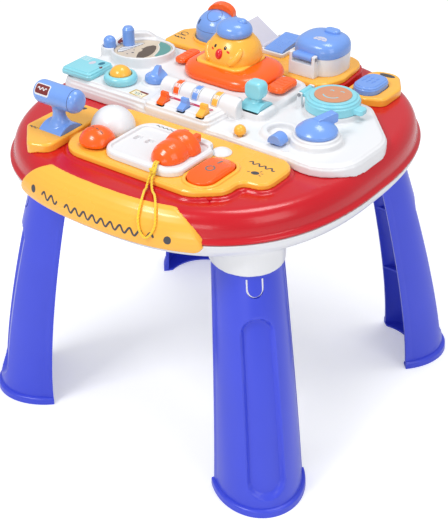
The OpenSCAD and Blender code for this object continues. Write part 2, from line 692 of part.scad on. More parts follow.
module pan_lid() middle() color(aqua) difference() {
    union() {
        translate([pan_at[0], pan_at[1], pan_top_z + seat]) {
            cylinder(r = pan_r, h = 10, $fn = 64);
            cylinder(r = pan_r - 1.5, h = 13, $fn = 64);
            cylinder(r = pan_r - 5, h = 15.4, $fn = 64);
        }
        rod_y([pan_hinge_x, pan_at[1], pan_axis_z], 3.6, 20);
        translate([pan_hinge_x, pan_at[1] - 10, pan_axis_z - 3]) cube([10, 20, 4]);
        plate(box_list(pan_at[0] + pan_r - 4, pan_at[0] + pan_r + 10, pan_at[1] - 7,
            pan_at[1] + 7, 4), pan_top_z + 2, pan_top_z + 8);
    }
    rod_y([pan_hinge_x, pan_at[1], pan_axis_z], pin_r + run, 24);
    translate([pan_at[0], pan_at[1], pan_top_z + seat + 14.2]) cylinder(r = 21.5, h = 5);
    translate([pan_at[0], pan_at[1], pan_top_z - 1]) cylinder(r = pan_r - 4, h = 11, $fn = 64);
}

module pan_inlay() middle() color([0.82, 0.57, 0.43]) translate([pan_at[0], pan_at[1],
    pan_top_z + seat + 14.2]) cylinder(r = 21.5, h = 1.6);

// Cushion-shaped dish under the figure
function dish_ring(d, z) = [for (p = rounded(inset(dish_list, d), 8)) [p[0], p[1], z]];
dish_h = 16;

module dish() middle() color(orange) difference() {
    loft([dish_ring(2, dish_z), dish_ring(0, dish_z + 3), dish_ring(0, dish_z + 6),
        dish_ring(2.5, dish_z + 10), dish_ring(8, dish_z + 14), dish_ring(17, dish_z + dish_h)]);
    plate(inset(dish_list, 14), dish_z - 1, dish_z + 5);
    plate(inset(skirt_list, -figure_well_gap), dish_z + 8, dish_z + dish_h + 1);
    translate([figure_at[0], figure_at[1], dish_z + 8]) linear_extrude(20)
        polygon(oval(figure_r + figure_well_gap, figure_r + figure_well_gap, 2.3, 48));
    translate([figure_at[0], figure_at[1], dish_z]) cylinder(r = 5 + run, h = 20);
}
figure_well_gap = 0.8;
figure_r = 32.5;

function figure_ring(k, z) = [for (p = oval(figure_r * k, figure_r * k, 2.3, 48))
    [p[0] + figure_at[0], p[1] + figure_at[1], z]];
figure_z = dish_z + 8 + travel + 0.5;
figure_top_z = dish_z + 46;

// Domed body of the chick on a flat skirt
module figure_body() middle() color(yellow) {
    plate(skirt_list, figure_z, dish_z + 18);
    loft([figure_ring(0.93, dish_z + 12), figure_ring(1, dish_z + 20),
        figure_ring(1, dish_z + 24), figure_ring(0.97, dish_z + 30),
        figure_ring(0.89, dish_z + 36), figure_ring(0.77, dish_z + 41.5),
        figure_ring(0.63, figure_top_z)]);
    translate([figure_at[0], figure_at[1], deck_z + 3])
        cylinder(r = 5, h = figure_z - deck_z);
}

module figure_cap() middle() color(sky) {
    loft([figure_ring(0.58, figure_top_z), figure_ring(0.63, figure_top_z + 2),
        figure_ring(0.65, figure_top_z + 4.5), figure_ring(0.64, figure_top_z + 7.5),
        figure_ring(0.58, figure_top_z + 11.5), figure_ring(0.45, figure_top_z + 15),
        figure_ring(0.24, figure_top_z + 17.3)]);
    translate([figure_at[0] + 9, figure_at[1] + 3, figure_top_z + 15]) sphere(r = 5.5, $fn = 32);
}

module side_key_left() middle() color(orange) side_key(side_left_at, box_list(-115, -98.5, 54, 92, 7));
module side_key_right() middle() color(orange) side_key(side_right_at, box_list(21.5, 44.5, 50, 90, 9));
module side_key(at, list) {
    soft_plate(list, dish_z + travel + 0.5, dish_z + 9, 2.5);
    stem(at, stem_end_z, dish_z + travel + 1);
}

// ---------------------------------------------------------------- front stations

lamp_at = [-80, -101];
lamp_button_at = [-70, -140];
socket_list = box_at(0, -117, 104, 86, 22);
socket_z1 = front_z + 9;
switch_at = [73, -124];
switch_w = 34;
switch_l = 62;
switch_axis_z = front_z - 3;
pilot_at = [54, -79];
plug_at = [22, -121];

module front_pad() middle() color(yellow) difference() {
    union() {
        plate(inset(front_list, 0), front_base_z, front_z - 1.5);
        plate(inset(front_list, 1.5), front_base_z, front_z);
        plate(box_at(switch_at[0], switch_at[1], switch_w + 10, switch_l + 10, 21),
            front_base_z, front_z + 2.5);
        switch_lugs();
    }
    plate(box_at(switch_at[0], switch_at[1], switch_w + 2 * gap, switch_l + 4 * gap, 16),
        front_base_z - 1, front_z + 9);
    rod_x([switch_at[0], switch_at[1], switch_axis_z], pin_r, switch_w + 10);
    stem_bore(lamp_button_at, front_base_z - 1, front_z + 1);
}

module switch_lugs() for (s = [-1, 1]) translate([switch_at[0] + s * (switch_w / 2 + 3),
    switch_at[1], switch_axis_z - 4]) cube([4, 8, 8], center = true);

module lamp_globe() middle() color(white) intersection() {
    translate([lamp_at[0], lamp_at[1], front_z]) sphere(r = globe_r, $fn = 96);
    translate([lamp_at[0] - 40, lamp_at[1] - 40, front_z]) cube([80, 80, 40]);
}

module lamp_button() middle() color(orange) {
    difference() {
        dome(lamp_button_at, 20, front_z + travel + 0.3, front_z + 6, 14);
        translate([lamp_at[0], lamp_at[1], front_z]) sphere(r = globe_r + 1, $fn = 96);
        translate([lamp_at[0], lamp_at[1], front_z + travel])
            sphere(r = globe_r + 1, $fn = 96);
        translate([socket_list[0][0] - 1, -180, front_z]) cube([40, 80, 50]);
    }
    stem(lamp_button_at, stem_end_z, front_z + travel + 1);
}

module socket_plate() middle() color(white) difference() {
    soft_plate(socket_list, front_z, socket_z1, 3);
    plate(box_list(-45, 46, -152, -86, 10), socket_z1 - 3, socket_z1 + 1);
    for (x = [-35, -19]) translate([x - 4, -117, front_z + 2]) cube([8, 10, 20]);
    plate(box_at(switch_at[0], switch_at[1], switch_w + 10.6, switch_l + 10.6, 21),
        front_z - 1, front_z + 2.8);
    translate([pilot_at[0], pilot_at[1], front_z - 1]) cylinder(r = 12, h = 20);
}

// Half-round plug that lies on the socket plate, tail to the front
module toy_plug() middle() color(orange) translate([plug_at[0], plug_at[1], plug_z]) {
    intersection() {
        rotate([90, 0, 0]) rotate_extrude($fn = 64) polygon([[0, -21], [20.5, -21], [21.2, -18.5],
            [21.2, -11], [20, -7], [17.6, -5], [18.6, 2], [19, 8], [18, 15], [15.4, 21],
            [11, 25.5], [5.5, 28.5], [0, 29]]);
        translate([-40, -40, 0]) cube([80, 90, 40]);
    }
    for (x = [-8, 8]) translate([x - 3.5, 20, 5]) cube([7, 13, 9]);
}
plug_z = socket_z1 - 3 + seat;

module oval_switch() middle() color(orange) difference() {
    union() {
        intersection() {
            soft_plate(box_at(switch_at[0], switch_at[1], switch_w, switch_l, 16),
                switch_axis_z - 3, front_z + 8, 3);
            rod_x([switch_at[0], switch_at[1], front_z + 8 - 110], 110, 60);
        }
        rod_x([switch_at[0], switch_at[1], switch_axis_z], 4, switch_w - 1);
    }
    rod_x([switch_at[0], switch_at[1], switch_axis_z], pin_r + run, switch_w + 4);
}

module pilot_lens() middle() color(white) dome(pilot_at, 11.5, front_z, front_z + 1, 4.5);

// Twisted carrying loop of the plug, as one tube from the plug's tail and back to it
cord_r = 1.4;
cord_path = [[21.4, -150.8, 381.2], [22.4, -153.6, 382.3], [23.8, -157.4, 382.6], [25.4, -161.8, 380.2],
    [26.2, -165.2, 374.9], [26.9, -170.3, 373.2], [27.5, -174.8, 366.9], [29, -179, 363.6],
    [31.5, -184.4, 364.9], [38.3, -196.8, 364.1], [42.4, -206.2, 358.6], [43.9, -210.6, 352.8],
    [45.9, -214, 347.1], [49.7, -216.8, 339.6], [53.4, -217.5, 335.2], [57.4, -217.2, 333],
    [61.5, -215.4, 336.3], [63.9, -212.6, 341.5], [64.4, -209.3, 347.7], [61.2, -204.2, 356.5],
    [55, -195.9, 363.6], [46.5, -186.4, 365.2], [38, -179, 363.6], [33.5, -174.8, 366.9],
    [30.7, -170.3, 373.2], [29.6, -165.2, 374.9], [28.8, -161.8, 380.2], [26.8, -157.4, 382.6],
    [25.2, -153.6, 382.3], [24.2, -150.8, 381.2]];

function smooth(p, i, t) = let (a = p[max(i - 1, 0)], b = p[i], c = p[i + 1],
    d = p[min(i + 2, len(p) - 1)])
    0.5 * (2 * b + (c - a) * t + (2 * a - 5 * b + 4 * c - d) * t * t
        + (3 * b - a - 3 * c + d) * t * t * t);

module plug_cord() middle() color([0.98, 0.84, 0.16]) {
    fine = [for (i = [0 : len(cord_path) - 2]) for (t = [0, 0.5]) smooth(cord_path, i, t),
        cord_path[len(cord_path) - 1]];
    m = len(fine);
    loft([for (i = [0 : m - 1])
        let (d = i == 0 || i == m - 1 ? [0, -1 + 2 * sign(i), 0]
                : unit(fine[i + 1] - fine[i - 1]),
            u = unit(cross(d, [1, 0.3, 0.2])), v = cross(d, u))
        [for (k = [0 : 7]) fine[i] + cord_r * (u * cos(45 * k) - v * sin(45 * k))]]);
}

// ---------------------------------------------------------------- side and rear stations

toggle_axis_z = side_z - 19;
toggle_r = 26;
toggle_w = 32;
barrel_z = side_z + 38;

module toggle_pad() middle() color(yellow) difference() {
    union() {
        difference() {
            soft_plate(toggle_list, seam_z + 2, side_z, 2);
            tray_body();
        }
        for (s = [-1, 1]) translate([toggle_at[0] + s * (toggle_w / 2 + 3), toggle_at[1],
            toggle_axis_z + 4]) cube([4, 14, 20], center = true);
    }
    rod_x([toggle_at[0], toggle_at[1], toggle_axis_z], toggle_r + gap, toggle_w + 2 * gap);
    rod_x([toggle_at[0], toggle_at[1], toggle_axis_z], pin_r, toggle_w + 10);
    plate(inset(front_list, -4 - seat), seam_z, side_z + 1);
}

module toggle_lever() middle() color(sky) {
    saddle(toggle_at, toggle_axis_z, toggle_r, toggle_w, 62, 6.5, barrel_z - barrel_r + 3);
    end = barrel_len / 2 - barrel_r;
    rod_x([toggle_at[0] + 2, toggle_at[1], barrel_z], barrel_r, 2 * end);
    for (s = [-1, 1]) translate([toggle_at[0] + 2 + s * end, toggle_at[1], barrel_z])
        sphere(r = barrel_r);
}

module right_pad() middle() color(yellow) difference() {
    soft_plate(right_list, seam_z + 2, side_z, 2);
    tray_body();
    stem_bore(right_stem_at, deck_z - 5, side_z + 1);
    plate(box_at(right_button_at[0], right_button_at[1], 33 + 2 * gap, 48 + 2 * gap, 15),
        side_z - 4, side_z + 4);
}

module right_button() middle() color(sky) {
    soft_plate(box_at(right_button_at[0], right_button_at[1], 33, 48, 15),
        side_z - 4 + travel + 0.4, side_z + 9, 3.5);
    stem(right_stem_at, stem_end_z, side_z - 1);
}

ramp_x = -39;
ramp_y0 = 158;
ramp_y1 = 208;
flap_x = -59;
flap_y0 = 163;
flap_y1 = 201;
flap_z = rear_z + 3;
flap_lean = 32;

module rear_pad() middle() color(yellow) difference() {
    soft_plate(rear_list, plinth_z, rear_z, 1.5);
    stem_bore([ramp_x, (ramp_y0 + ramp_y1) / 2], plinth_z - 1, rear_z + 1);
}

// White box that holds the ramp key and the hinge ears of the flap
module key_box() middle() color(white) difference() {
    union() {
        soft_plate(box_list(ramp_x - 16, ramp_x + 16, ramp_y0 - 3, ramp_y1 + 3, 4), rear_z,
            rear_z + 5, 1);
        for (y = [flap_y0 - 6, flap_y1 + 2])
            translate([flap_x - 3, y, rear_z]) cube([9, 4, 6]);
    }
    plate(box_list(ramp_x - 13 - gap, ramp_x + 13 + gap, ramp_y0 - gap, ramp_y1 + gap, 1),
        rear_z + 1, rear_z + 9);
    stem_bore([ramp_x, (ramp_y0 + ramp_y1) / 2], rear_z - 1, rear_z + 3);
    rod_y([flap_x, (flap_y0 + flap_y1) / 2, flap_z], pin_r, flap_y1 - flap_y0 + 14);
}

module ramp_key() middle() color(sky) {
    translate([ramp_x - 13, ramp_y0, rear_z]) rotate([90, 0, 90]) linear_extrude(26)
        polygon([[0, travel + 1.5], [ramp_y1 - ramp_y0, travel + 1.5],
            [ramp_y1 - ramp_y0, 11], [ramp_y1 - ramp_y0 - 4, 12], [4, 7.5], [0, 5.5]]);
    stem([ramp_x, (ramp_y0 + ramp_y1) / 2], stem_end_z, rear_z + travel + 2);
}

module page_flap() middle() color([0.81, 0.8, 0.85]) difference() {
    union() {
        translate([flap_x, 0, flap_z]) rotate([0, flap_lean, 0])
            translate([-40, flap_y0, -1.2]) cube([37.6, flap_y1 - flap_y0, 2.4]);
        rod_y([flap_x, (flap_y0 + flap_y1) / 2, flap_z], 2.8, flap_y1 - flap_y0);
    }
    rod_y([flap_x, (flap_y0 + flap_y1) / 2, flap_z], pin_r + run, flap_y1 - flap_y0 + 8);
}

cooker_at = [28, 166];
cooker_seam_z = rear_z + 21.5;
cooker_top_z = cooker_seam_z + 19.5;
cooker_hinge = [cooker_at[0] - 5, cooker_at[1] - cooker_r - 5];
cooker_button_at = [33, 178];
hinge_half = 13;

function cooker_ring(d, z) = [for (p = oval(cooker_r - d, cooker_r - d, 2.5, 48))
    [p[0] + cooker_at[0], p[1] + cooker_at[1], z]];
module cooker_prism(d, z0, z1) translate([cooker_at[0], cooker_at[1], z0])
    linear_extrude(z1 - z0) polygon(oval(cooker_r - d, cooker_r - d, 2.5, 48));

module cooker_body() middle() color(white) difference() {
    union() {
        cooker_prism(0, rear_z, cooker_seam_z);
        translate([cooker_hinge[0] - hinge_half - 5, cooker_hinge[1] - 4, rear_z])
            cube([2 * hinge_half + 10, 16, cooker_seam_z - rear_z - 5]);
        for (s = [-1, 1]) plate(box_at(cooker_hinge[0] + s * (hinge_half + 2.7),
            cooker_hinge[1], 4.6, 8, 1.5), rear_z, cooker_seam_z + 6);
    }
    cooker_prism(3, rear_z + 3, cooker_seam_z + 1);
    rod_x([cooker_hinge[0], cooker_hinge[1], cooker_seam_z + 2], pin_r, 2 * hinge_half + 11);
}

module cooker_lid() middle() color(sky) difference() {
    union() {
        difference() {
            loft([cooker_ring(0, cooker_seam_z + seat), cooker_ring(0.3, cooker_top_z - 11),
                cooker_ring(2, cooker_top_z - 6.5), cooker_ring(5, cooker_top_z - 3),
                cooker_ring(9.5, cooker_top_z - 1), cooker_ring(16, cooker_top_z)]);
            cooker_prism(3, cooker_seam_z - 1, cooker_top_z - 9);
        }
        rod_x([cooker_hinge[0], cooker_hinge[1], cooker_seam_z + 2], 3.8, 2 * hinge_half);
        translate([cooker_hinge[0] - hinge_half, cooker_hinge[1] + 0.5, cooker_seam_z + 1])
            cube([2 * hinge_half, 7, 5]);
    }
    rod_x([cooker_hinge[0], cooker_hinge[1], cooker_seam_z + 2], pin_r + run, 3 * hinge_half);
    plate(box_at(cooker_button_at[0], cooker_button_at[1], 20 + 2 * gap, 13 + 2 * gap, 6.8),
        cooker_top_z - 4, cooker_top_z + 2);
    stem_bore(cooker_button_at, cooker_top_z - 14, cooker_top_z + 2);
}

module cooker_button() middle() color(sky) {
    soft_plate(box_at(cooker_button_at[0], cooker_button_at[1], 20, 13, 6), cooker_top_z - 1,
        cooker_top_z + 4, 1.5);
    stem(cooker_button_at, cooker_top_z - 12, cooker_top_z);
}

module kettle_pad() middle() color(yellow) difference() {
    union() {
        soft_plate(kettle_list, plinth_z, rear_z, 1.5);
        translate([kettle_at[0], kettle_at[1], rear_z - 1]) cylinder(r = kettle_r + 4, h = 5);
    }
    translate([kettle_at[0], kettle_at[1], rear_z + 1]) cylinder(r = kettle_r + gap, h = 9);
    translate([kettle_at[0], kettle_at[1], plinth_z - 1]) cylinder(r = 6 + run, h = 19);
}

kettle_z = rear_z + 1 + seat;
kettle_side = 10;
kettle_dome = 27;

// Kettle that turns on a pin in its pad
module kettle_body() middle() color(sky) translate([kettle_at[0], kettle_at[1], 0]) {
    translate([0, 0, kettle_z]) rotate_extrude($fn = 72) polygon(concat([[0, 0], [kettle_r, 0]],
        [for (i = [0 : 12]) let (a = 90 * i / 12)
            [kettle_r * cos(a), kettle_side + kettle_dome * sin(a)]]));
    translate([0, 0, plinth_z + 0.4]) cylinder(r = 6, h = kettle_z - plinth_z);
}

module kettle_handle() middle() color(orange) difference() {
    translate([kettle_at[0] + 2, kettle_at[1] + 4, kettle_z + 28]) rotate([90, 0, 12])
        translate([0, 0, -5.5]) linear_extrude(11) difference() {
            polygon(concat([for (i = [0 : 16]) let (a = 180 * i / 16) [17.5 * cos(a), 4 + 13 * sin(a)]],
                [[-17.5, 0], [-9, 0]],
                [for (i = [16 : -1 : 0]) let (a = 180 * i / 16) [9 * cos(a), 3 + 6 * sin(a)]],
                [[9, 0], [17.5, 0]]));
        }
    translate([kettle_at[0], kettle_at[1], kettle_z]) rotate_extrude($fn = 72)
        polygon(concat([[0, 0], [kettle_r, 0]], [for (i = [0 : 12]) let (a = 90 * i / 12)
            [kettle_r * cos(a), kettle_side + kettle_dome * sin(a)]]));
}

// ---------------------------------------------------------------- pins and inner pieces

module hinge_pins() middle() color("silver") {
    rod_x([-24, roller_y, mixer_z], pin_r, axle_len);
    rod_x([toggle_at[0], toggle_at[1], toggle_axis_z], pin_r, toggle_w + 10);
    rod_x([gear_at[0], gear_at[1], gear_axis_z], pin_r, 34);
    rod_x([switch_at[0], switch_at[1], switch_axis_z], pin_r, switch_w + 10);
    rod_y([pan_hinge_x, pan_at[1], pan_axis_z], pin_r, 30);
    rod_x([cooker_hinge[0], cooker_hinge[1], cooker_seam_z + 2], pin_r, 2 * hinge_half + 11);
    rod_y([flap_x, (flap_y0 + flap_y1) / 2, flap_z], pin_r, flap_y1 - flap_y0 + 14);
}

board_lists = [box_list(-212, 125, -46, 96, 4), box_list(-90, 75, -150, -92, 4),
    [[-70, 130, 4], [106, 130, 4], [106, 142, 3], [64, 186, 6], [-70, 186, 4]]];
push_spots = [dome_at, pillar_at, side_left_at, side_right_at, ball_at, half_round_at,
    [tab_x[0], tab_y], [tab_x[1], tab_y], [tab_x[2], tab_y], lamp_button_at, right_stem_at,
    [ramp_x, (ramp_y0 + ramp_y1) / 2]];

module circuit_boards() middle() color("seagreen") {
    difference() {
        for (list = board_lists) plate(list, board_z, board_z + board_t);
        translate([speaker_at[0], speaker_at[1], board_z - 1]) cylinder(r = speaker_r + 6, h = 4);
        translate([bay_at[0], bay_at[1], board_z]) cube([bay_w + 4, bay_d + 4, 9], center = true);
    }
    for (p = push_spots) translate([p[0], p[1], board_z + board_t - eps])
        cylinder(r = 3.5, h = contact_h + eps);
}

module speaker() middle() color("dimgray") translate([speaker_at[0], speaker_at[1], pan_z + wall]) {
    cylinder(r = speaker_r, h = 4);
    translate([0, 0, 4 - eps]) cylinder(r1 = speaker_r - 2, r2 = 13, h = 7);
    translate([0, 0, 10]) cylinder(r = 13, h = 5);
}

module battery_door() middle() color(white) translate([bay_at[0], bay_at[1], pan_z])
    linear_extrude(wall) square([bay_w - 8 - 2 * seat, bay_d - 8 - 2 * seat], center = true);

module batteries() middle() color("silver") for (i = [-1 : 1])
    rod_x([bay_at[0], bay_at[1] + 15 * i, pan_z + wall + 7.1], 7, 50.5);

module screws() middle() color("silver") for (p = screw_spots) translate([p[0], p[1], pan_z + 7]) {
    translate([0, 0, -2.4]) cylinder(r = 3, h = 2.4);
    cylinder(r = screw_r - 0.02, h = 16);
}

tray();
base_pan();
front_band();
leg_front_left();
leg_front_right();
leg_rear_left();
leg_rear_right();
console_panel();
front_pad();
toggle_pad();
right_pad();
rear_pad();
kettle_pad();
toggle_lever();
lamp_globe();
lamp_button();
socket_plate();
toy_plug();
plug_cord();
oval_switch();
pilot_lens();
cassette_block();
dome_collar();
dome_button();
turntable_disc();
disc_handle();
pillar_button();
rotary_knob();
number_wheel_1();
number_wheel_2();
number_wheel_3();
tab_key_1();
tab_key_2();
tab_key_3();
gear_lever();
ball_button();
half_round_key();
stove_knob();
pan_lid();
pan_inlay();
dish();
side_key_left();
side_key_right();
figure_body();
figure_cap();
right_button();
cooker_body();
cooker_lid();
cooker_button();
key_box();
ramp_key();
page_flap();
kettle_body();
kettle_handle();
hinge_pins();
circuit_boards();
speaker();
battery_door();
batteries();
screws();
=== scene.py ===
"""Looks of the musical activity table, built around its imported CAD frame. Lengths are in mm."""
import json
import math

import bmesh
import bpy
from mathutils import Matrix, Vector
from mathutils.bvhtree import BVHTree


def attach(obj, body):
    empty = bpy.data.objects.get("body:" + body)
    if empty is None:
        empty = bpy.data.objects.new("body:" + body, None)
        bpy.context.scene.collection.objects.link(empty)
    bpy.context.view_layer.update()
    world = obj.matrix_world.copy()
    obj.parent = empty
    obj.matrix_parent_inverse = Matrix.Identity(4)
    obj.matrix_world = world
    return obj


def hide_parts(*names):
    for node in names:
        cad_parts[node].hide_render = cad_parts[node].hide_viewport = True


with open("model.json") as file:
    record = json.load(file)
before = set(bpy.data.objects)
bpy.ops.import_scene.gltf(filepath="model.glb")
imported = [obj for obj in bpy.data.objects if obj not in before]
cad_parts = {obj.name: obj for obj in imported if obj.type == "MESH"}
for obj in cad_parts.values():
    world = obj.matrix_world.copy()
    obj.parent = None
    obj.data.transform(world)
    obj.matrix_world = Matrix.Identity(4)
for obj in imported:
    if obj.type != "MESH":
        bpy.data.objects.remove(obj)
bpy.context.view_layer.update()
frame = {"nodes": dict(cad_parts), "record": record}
NODES = frame["nodes"]
MM = 0.001
RAY_TOP = 720  # above every piece
OX, OY = 13.47, -13.4  # the stations' own origin

# Heights shared with the solids
SEAM_Z, DECK_Z, SOCKET_Z = 329, 361, 281
LEFT_Z, MIXER_Z, RIGHT_Z, DISH_Z = 381, 385, 375, 384
PLATEAU_Z, REAR_Z = 364, 378


def at(x, y, z):
    """A station's own coordinates, moved into the part's frame in metres."""
    return Vector(((x + OX) * MM, (y + OY) * MM, z * MM))


# ---------------------------------------------------------------- camera

scene = bpy.context.scene
TARGET = Vector((13.47, -13.4, 172.35)) * MM
AZIMUTH, ELEVATION, DISTANCE = math.radians(35.85), math.radians(32.56), 1.5693
camera_data = bpy.data.cameras.new("camera")
camera_data.lens, camera_data.sensor_width = 88.45, 36
camera_data.clip_start, camera_data.clip_end = 0.05, 30
camera = bpy.data.objects.new("camera", camera_data)
scene.collection.objects.link(camera)
back = Vector((math.sin(AZIMUTH) * math.cos(ELEVATION), -math.cos(AZIMUTH) * math.cos(ELEVATION),
               math.sin(ELEVATION)))
camera.location = TARGET + back * DISTANCE
camera.rotation_euler = back.to_track_quat("Z", "Y").to_euler()
scene.camera = camera


# ---------------------------------------------------------------- materials

def linear(c):
    return tuple(v / 12.92 if v <= 0.04045 else ((v + 0.055) / 1.055) ** 2.4 for v in c)


def link(tree, a, b):
    tree.links.new(a, b)


def node_with(node, **values):
    """A shader node or light node, after its inputs are set; _ stands for a space in their names."""
    for key, value in values.items():
        node.inputs[key.replace("_", " ")].default_value = value
    return node


def noise(tree, where, scale, detail):
    node = node_with(tree.nodes.new("ShaderNodeTexNoise"), Scale=scale, Detail=detail)
    link(tree, where, node.inputs["Vector"])
    return node.outputs["Fac"]


def plastic(name, rgb, rough=0.3, coat=0.25, grain=0.00003, drift=0.03, spread=0.06):
    """Moulded plastic: slow drift of tone, uneven gloss and a fine grain from the mould."""
    m = bpy.data.materials.new(name)
    m.use_nodes = True
    t = m.node_tree
    shader = t.nodes["Principled BSDF"]
    where = t.nodes.new("ShaderNodeTexCoord").outputs["Object"]
    slow, fine = noise(t, where, 14, 3), noise(t, where, 900, 2)
    tone = t.nodes.new("ShaderNodeValToRGB")
    base = linear(rgb)
    tone.color_ramp.elements[0].position, tone.color_ramp.elements[1].position = 0.3, 0.7
    tone.color_ramp.elements[0].color = (*[v * (1 - drift) for v in base], 1)
    tone.color_ramp.elements[1].color = (*[min(1, v * (1 + drift)) for v in base], 1)
    link(t, slow, tone.inputs["Fac"])
    link(t, tone.outputs["Color"], shader.inputs["Base Color"])
    gloss = node_with(t.nodes.new("ShaderNodeMapRange"), To_Min=rough - spread / 2, To_Max=rough + spread / 2)
    link(t, slow, gloss.inputs["Value"])
    link(t, gloss.outputs["Result"], shader.inputs["Roughness"])
    bump = node_with(t.nodes.new("ShaderNodeBump"), Strength=0.25, Distance=grain)
    link(t, fine, bump.inputs["Height"])
    link(t, bump.outputs["Normal"], shader.inputs["Normal"])
    node_with(shader, IOR=1.49, Coat_Weight=coat, Coat_Roughness=0.12)
    return m


def ink(name, rgb, rough=0.45):
    return plastic(name, rgb, rough=rough, coat=0.0, grain=0.00001, drift=0.02)


RED = plastic("red_gloss", (0.775, 0.0, 0.085), rough=0.25, coat=0.2)
WHITE = plastic("white_gloss", (0.90, 0.90, 0.905), rough=0.32, coat=0.25, drift=0.012)
YELLOW = plastic("yellow_gloss", (1.0, 0.72, 0.25), rough=0.27)
ORANGE = plastic("orange_gloss", (1.0, 0.375, 0.01), rough=0.25, coat=0.35)
SKY = plastic("sky_gloss", (0.455, 0.62, 0.90), rough=0.24, coat=0.35)
AQUA = plastic("aqua_gloss", (0.54, 0.83, 0.88), rough=0.24, coat=0.35)
LEG = plastic("leg_gloss", (0.225, 0.285, 0.83), rough=0.3, coat=0.15)
SALMON = plastic("salmon_print", (0.82, 0.565, 0.42), rough=0.42, coat=0.05)
DISC = plastic("disc_print", (0.845, 0.78, 0.69), rough=0.38, coat=0.15)
GREY = plastic("flap_satin", (0.80, 0.79, 0.835), rough=0.5, coat=0.0)
METAL = plastic("pin_steel", (0.66, 0.66, 0.68), rough=0.35, coat=0.0)
node_with(METAL.node_tree.nodes["Principled BSDF"], Metallic=1.0)
BOARD = plastic("board_green", (0.10, 0.36, 0.22), rough=0.55, coat=0.0)
DARK = plastic("speaker_dark", (0.16, 0.16, 0.17), rough=0.6, coat=0.0)
INK_DARK = ink("ink_dark", (0.27, 0.27, 0.29))
INK_GREY = ink("ink_grey", (0.46, 0.44, 0.42))
INK_MAROON = ink("ink_maroon", (0.47, 0.15, 0.15))
INK_PINK = ink("ink_pink", (0.74, 0.10, 0.30))
INK_WHITE = ink("ink_white", (0.90, 0.90, 0.90))
INK_TEAL = ink("ink_teal", (0.12, 0.45, 0.55))
INK_SAGE = ink("ink_sage", (0.36, 0.60, 0.58))
INK_BROWN = ink("ink_brown", (0.36, 0.30, 0.25))
INK_NAVY = ink("ink_navy", (0.08, 0.22, 0.42))
INK_GOLD = ink("ink_gold", (0.78, 0.66, 0.33))
INK_CREAM = ink("ink_cream", (0.93, 0.90, 0.80))
BEAK = plastic("beak_red", (0.88, 0.03, 0.06), rough=0.2, coat=0.5)
EYE = plastic("eye_black", (0.05, 0.05, 0.06), rough=0.15, coat=0.5)
SEAM = ink("seam_shadow", (0.30, 0.36, 0.52), rough=0.6)

SLOT_LOOK = {"red_plastic": RED, "white_plastic": WHITE, "yellow_plastic": YELLOW,
             "orange_plastic": ORANGE, "sky_plastic": SKY, "aqua_plastic": AQUA,
             "leg_blue_plastic": LEG, "salmon_plastic": SALMON, "disc_print": DISC,
             "flap_grey": GREY, "pin_steel": METAL, "board_green": BOARD, "speaker_grey": DARK}
SLOT_OF = {s["node"]: s["material_slot"] for s in frame["record"]["subparts"]}
BODY_OF = {n: b for b, names in frame["record"]["behaviour"]["bodies"].items() for n in names}

for node, obj in NODES.items():
    look = SLOT_LOOK.get(SLOT_OF[node])
    if look:
        obj.data.materials.clear()
        obj.data.materials.append(look)


# ---------------------------------------------------------------- mesh helpers

def new_object(name, shape, material, body, node=None):
    """A piece of vertices and faces that rides on a body, and stands for a CAD node if one is named."""
    verts, faces = shape
    mesh = bpy.data.meshes.new(name)
    mesh.from_pydata([tuple(v) for v in verts], [], faces)
    mesh.validate()
    obj = bpy.data.objects.new(name, mesh)
    scene.collection.objects.link(obj)
    finish_piece(obj, material, body)
    if node:
        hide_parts(node)
    return obj


def finish_piece(obj, material, body, angle=32):
    mesh = obj.data
    bm = bmesh.new()
    bm.from_mesh(mesh)
    bmesh.ops.remove_doubles(bm, verts=bm.verts, dist=1e-7)
    bmesh.ops.recalc_face_normals(bm, faces=bm.faces)
    bm.to_mesh(mesh)
    bm.free()
    mesh.materials.clear()
    mesh.materials.append(material)
    mesh.shade_smooth()
    mesh.set_sharp_from_angle(angle=math.radians(angle))
    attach(obj, body)


def own_shape(node, shape):
    """A new piece with the look of a CAD node's material slot and the node's body; it is seen in the node's
    place.
    """
    return new_object(node + "_skin", shape, SLOT_LOOK[SLOT_OF[node]], BODY_OF[node], node)


def cut_by(obj, shape, angle):
    """Takes a shape out of a finished piece and sets its sharp edges again."""
    cutter = joined(obj.name + "_cutter", [shape])
    cut(obj, cutter)
    applied(obj)
    bpy.data.objects.remove(cutter)
    obj.data.set_sharp_from_angle(angle=math.radians(angle))


def applied(obj):
    """The object's mesh with its modifiers worked in."""
    bpy.context.view_layer.update()
    graph = bpy.context.evaluated_depsgraph_get()
    mesh = bpy.data.meshes.new_from_object(obj.evaluated_get(graph))
    obj.modifiers.clear()
    obj.data = mesh


def remeshed(obj, voxel):
    m = obj.modifiers.new("remesh", "REMESH")
    m.mode, m.voxel_size = "VOXEL", voxel * MM


def smoothed(obj, rounds):
    m = obj.modifiers.new("smooth", "SMOOTH")
    m.factor, m.iterations = 0.5, rounds


def cut(obj, cutter, operation="DIFFERENCE"):
    m = obj.modifiers.new("cut", "BOOLEAN")
    m.operation, m.solver, m.object = operation, "EXACT", cutter


def stand_in(obj, node, angle):
    """Gives an object the look of a CAD node's material slot and the node's body, and puts it in the node's
    place.
    """
    finish_piece(obj, SLOT_LOOK[SLOT_OF[node]], BODY_OF[node], angle)
    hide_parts(node)


def moulded(node, voxel, rounds, shape=None):
    """A finer copy of a solid whose edges are rounded as a moulding's are; it replaces the node."""
    obj = bpy.data.objects.new(node + "_skin", NODES[node].data.copy())
    scene.collection.objects.link(obj)
    remeshed(obj, voxel)
    smoothed(obj, rounds)
    applied(obj)
    if shape:
        for v in obj.data.vertices:
            v.co = shape(v.co)
    stand_in(obj, node, 50)


def merged(shapes):
    """Vertices and faces of several shapes as one."""
    verts, faces = [], []
    for v, f in shapes:
        faces += [tuple(i + len(verts) for i in q) for q in f]
        verts += v
    return verts, faces


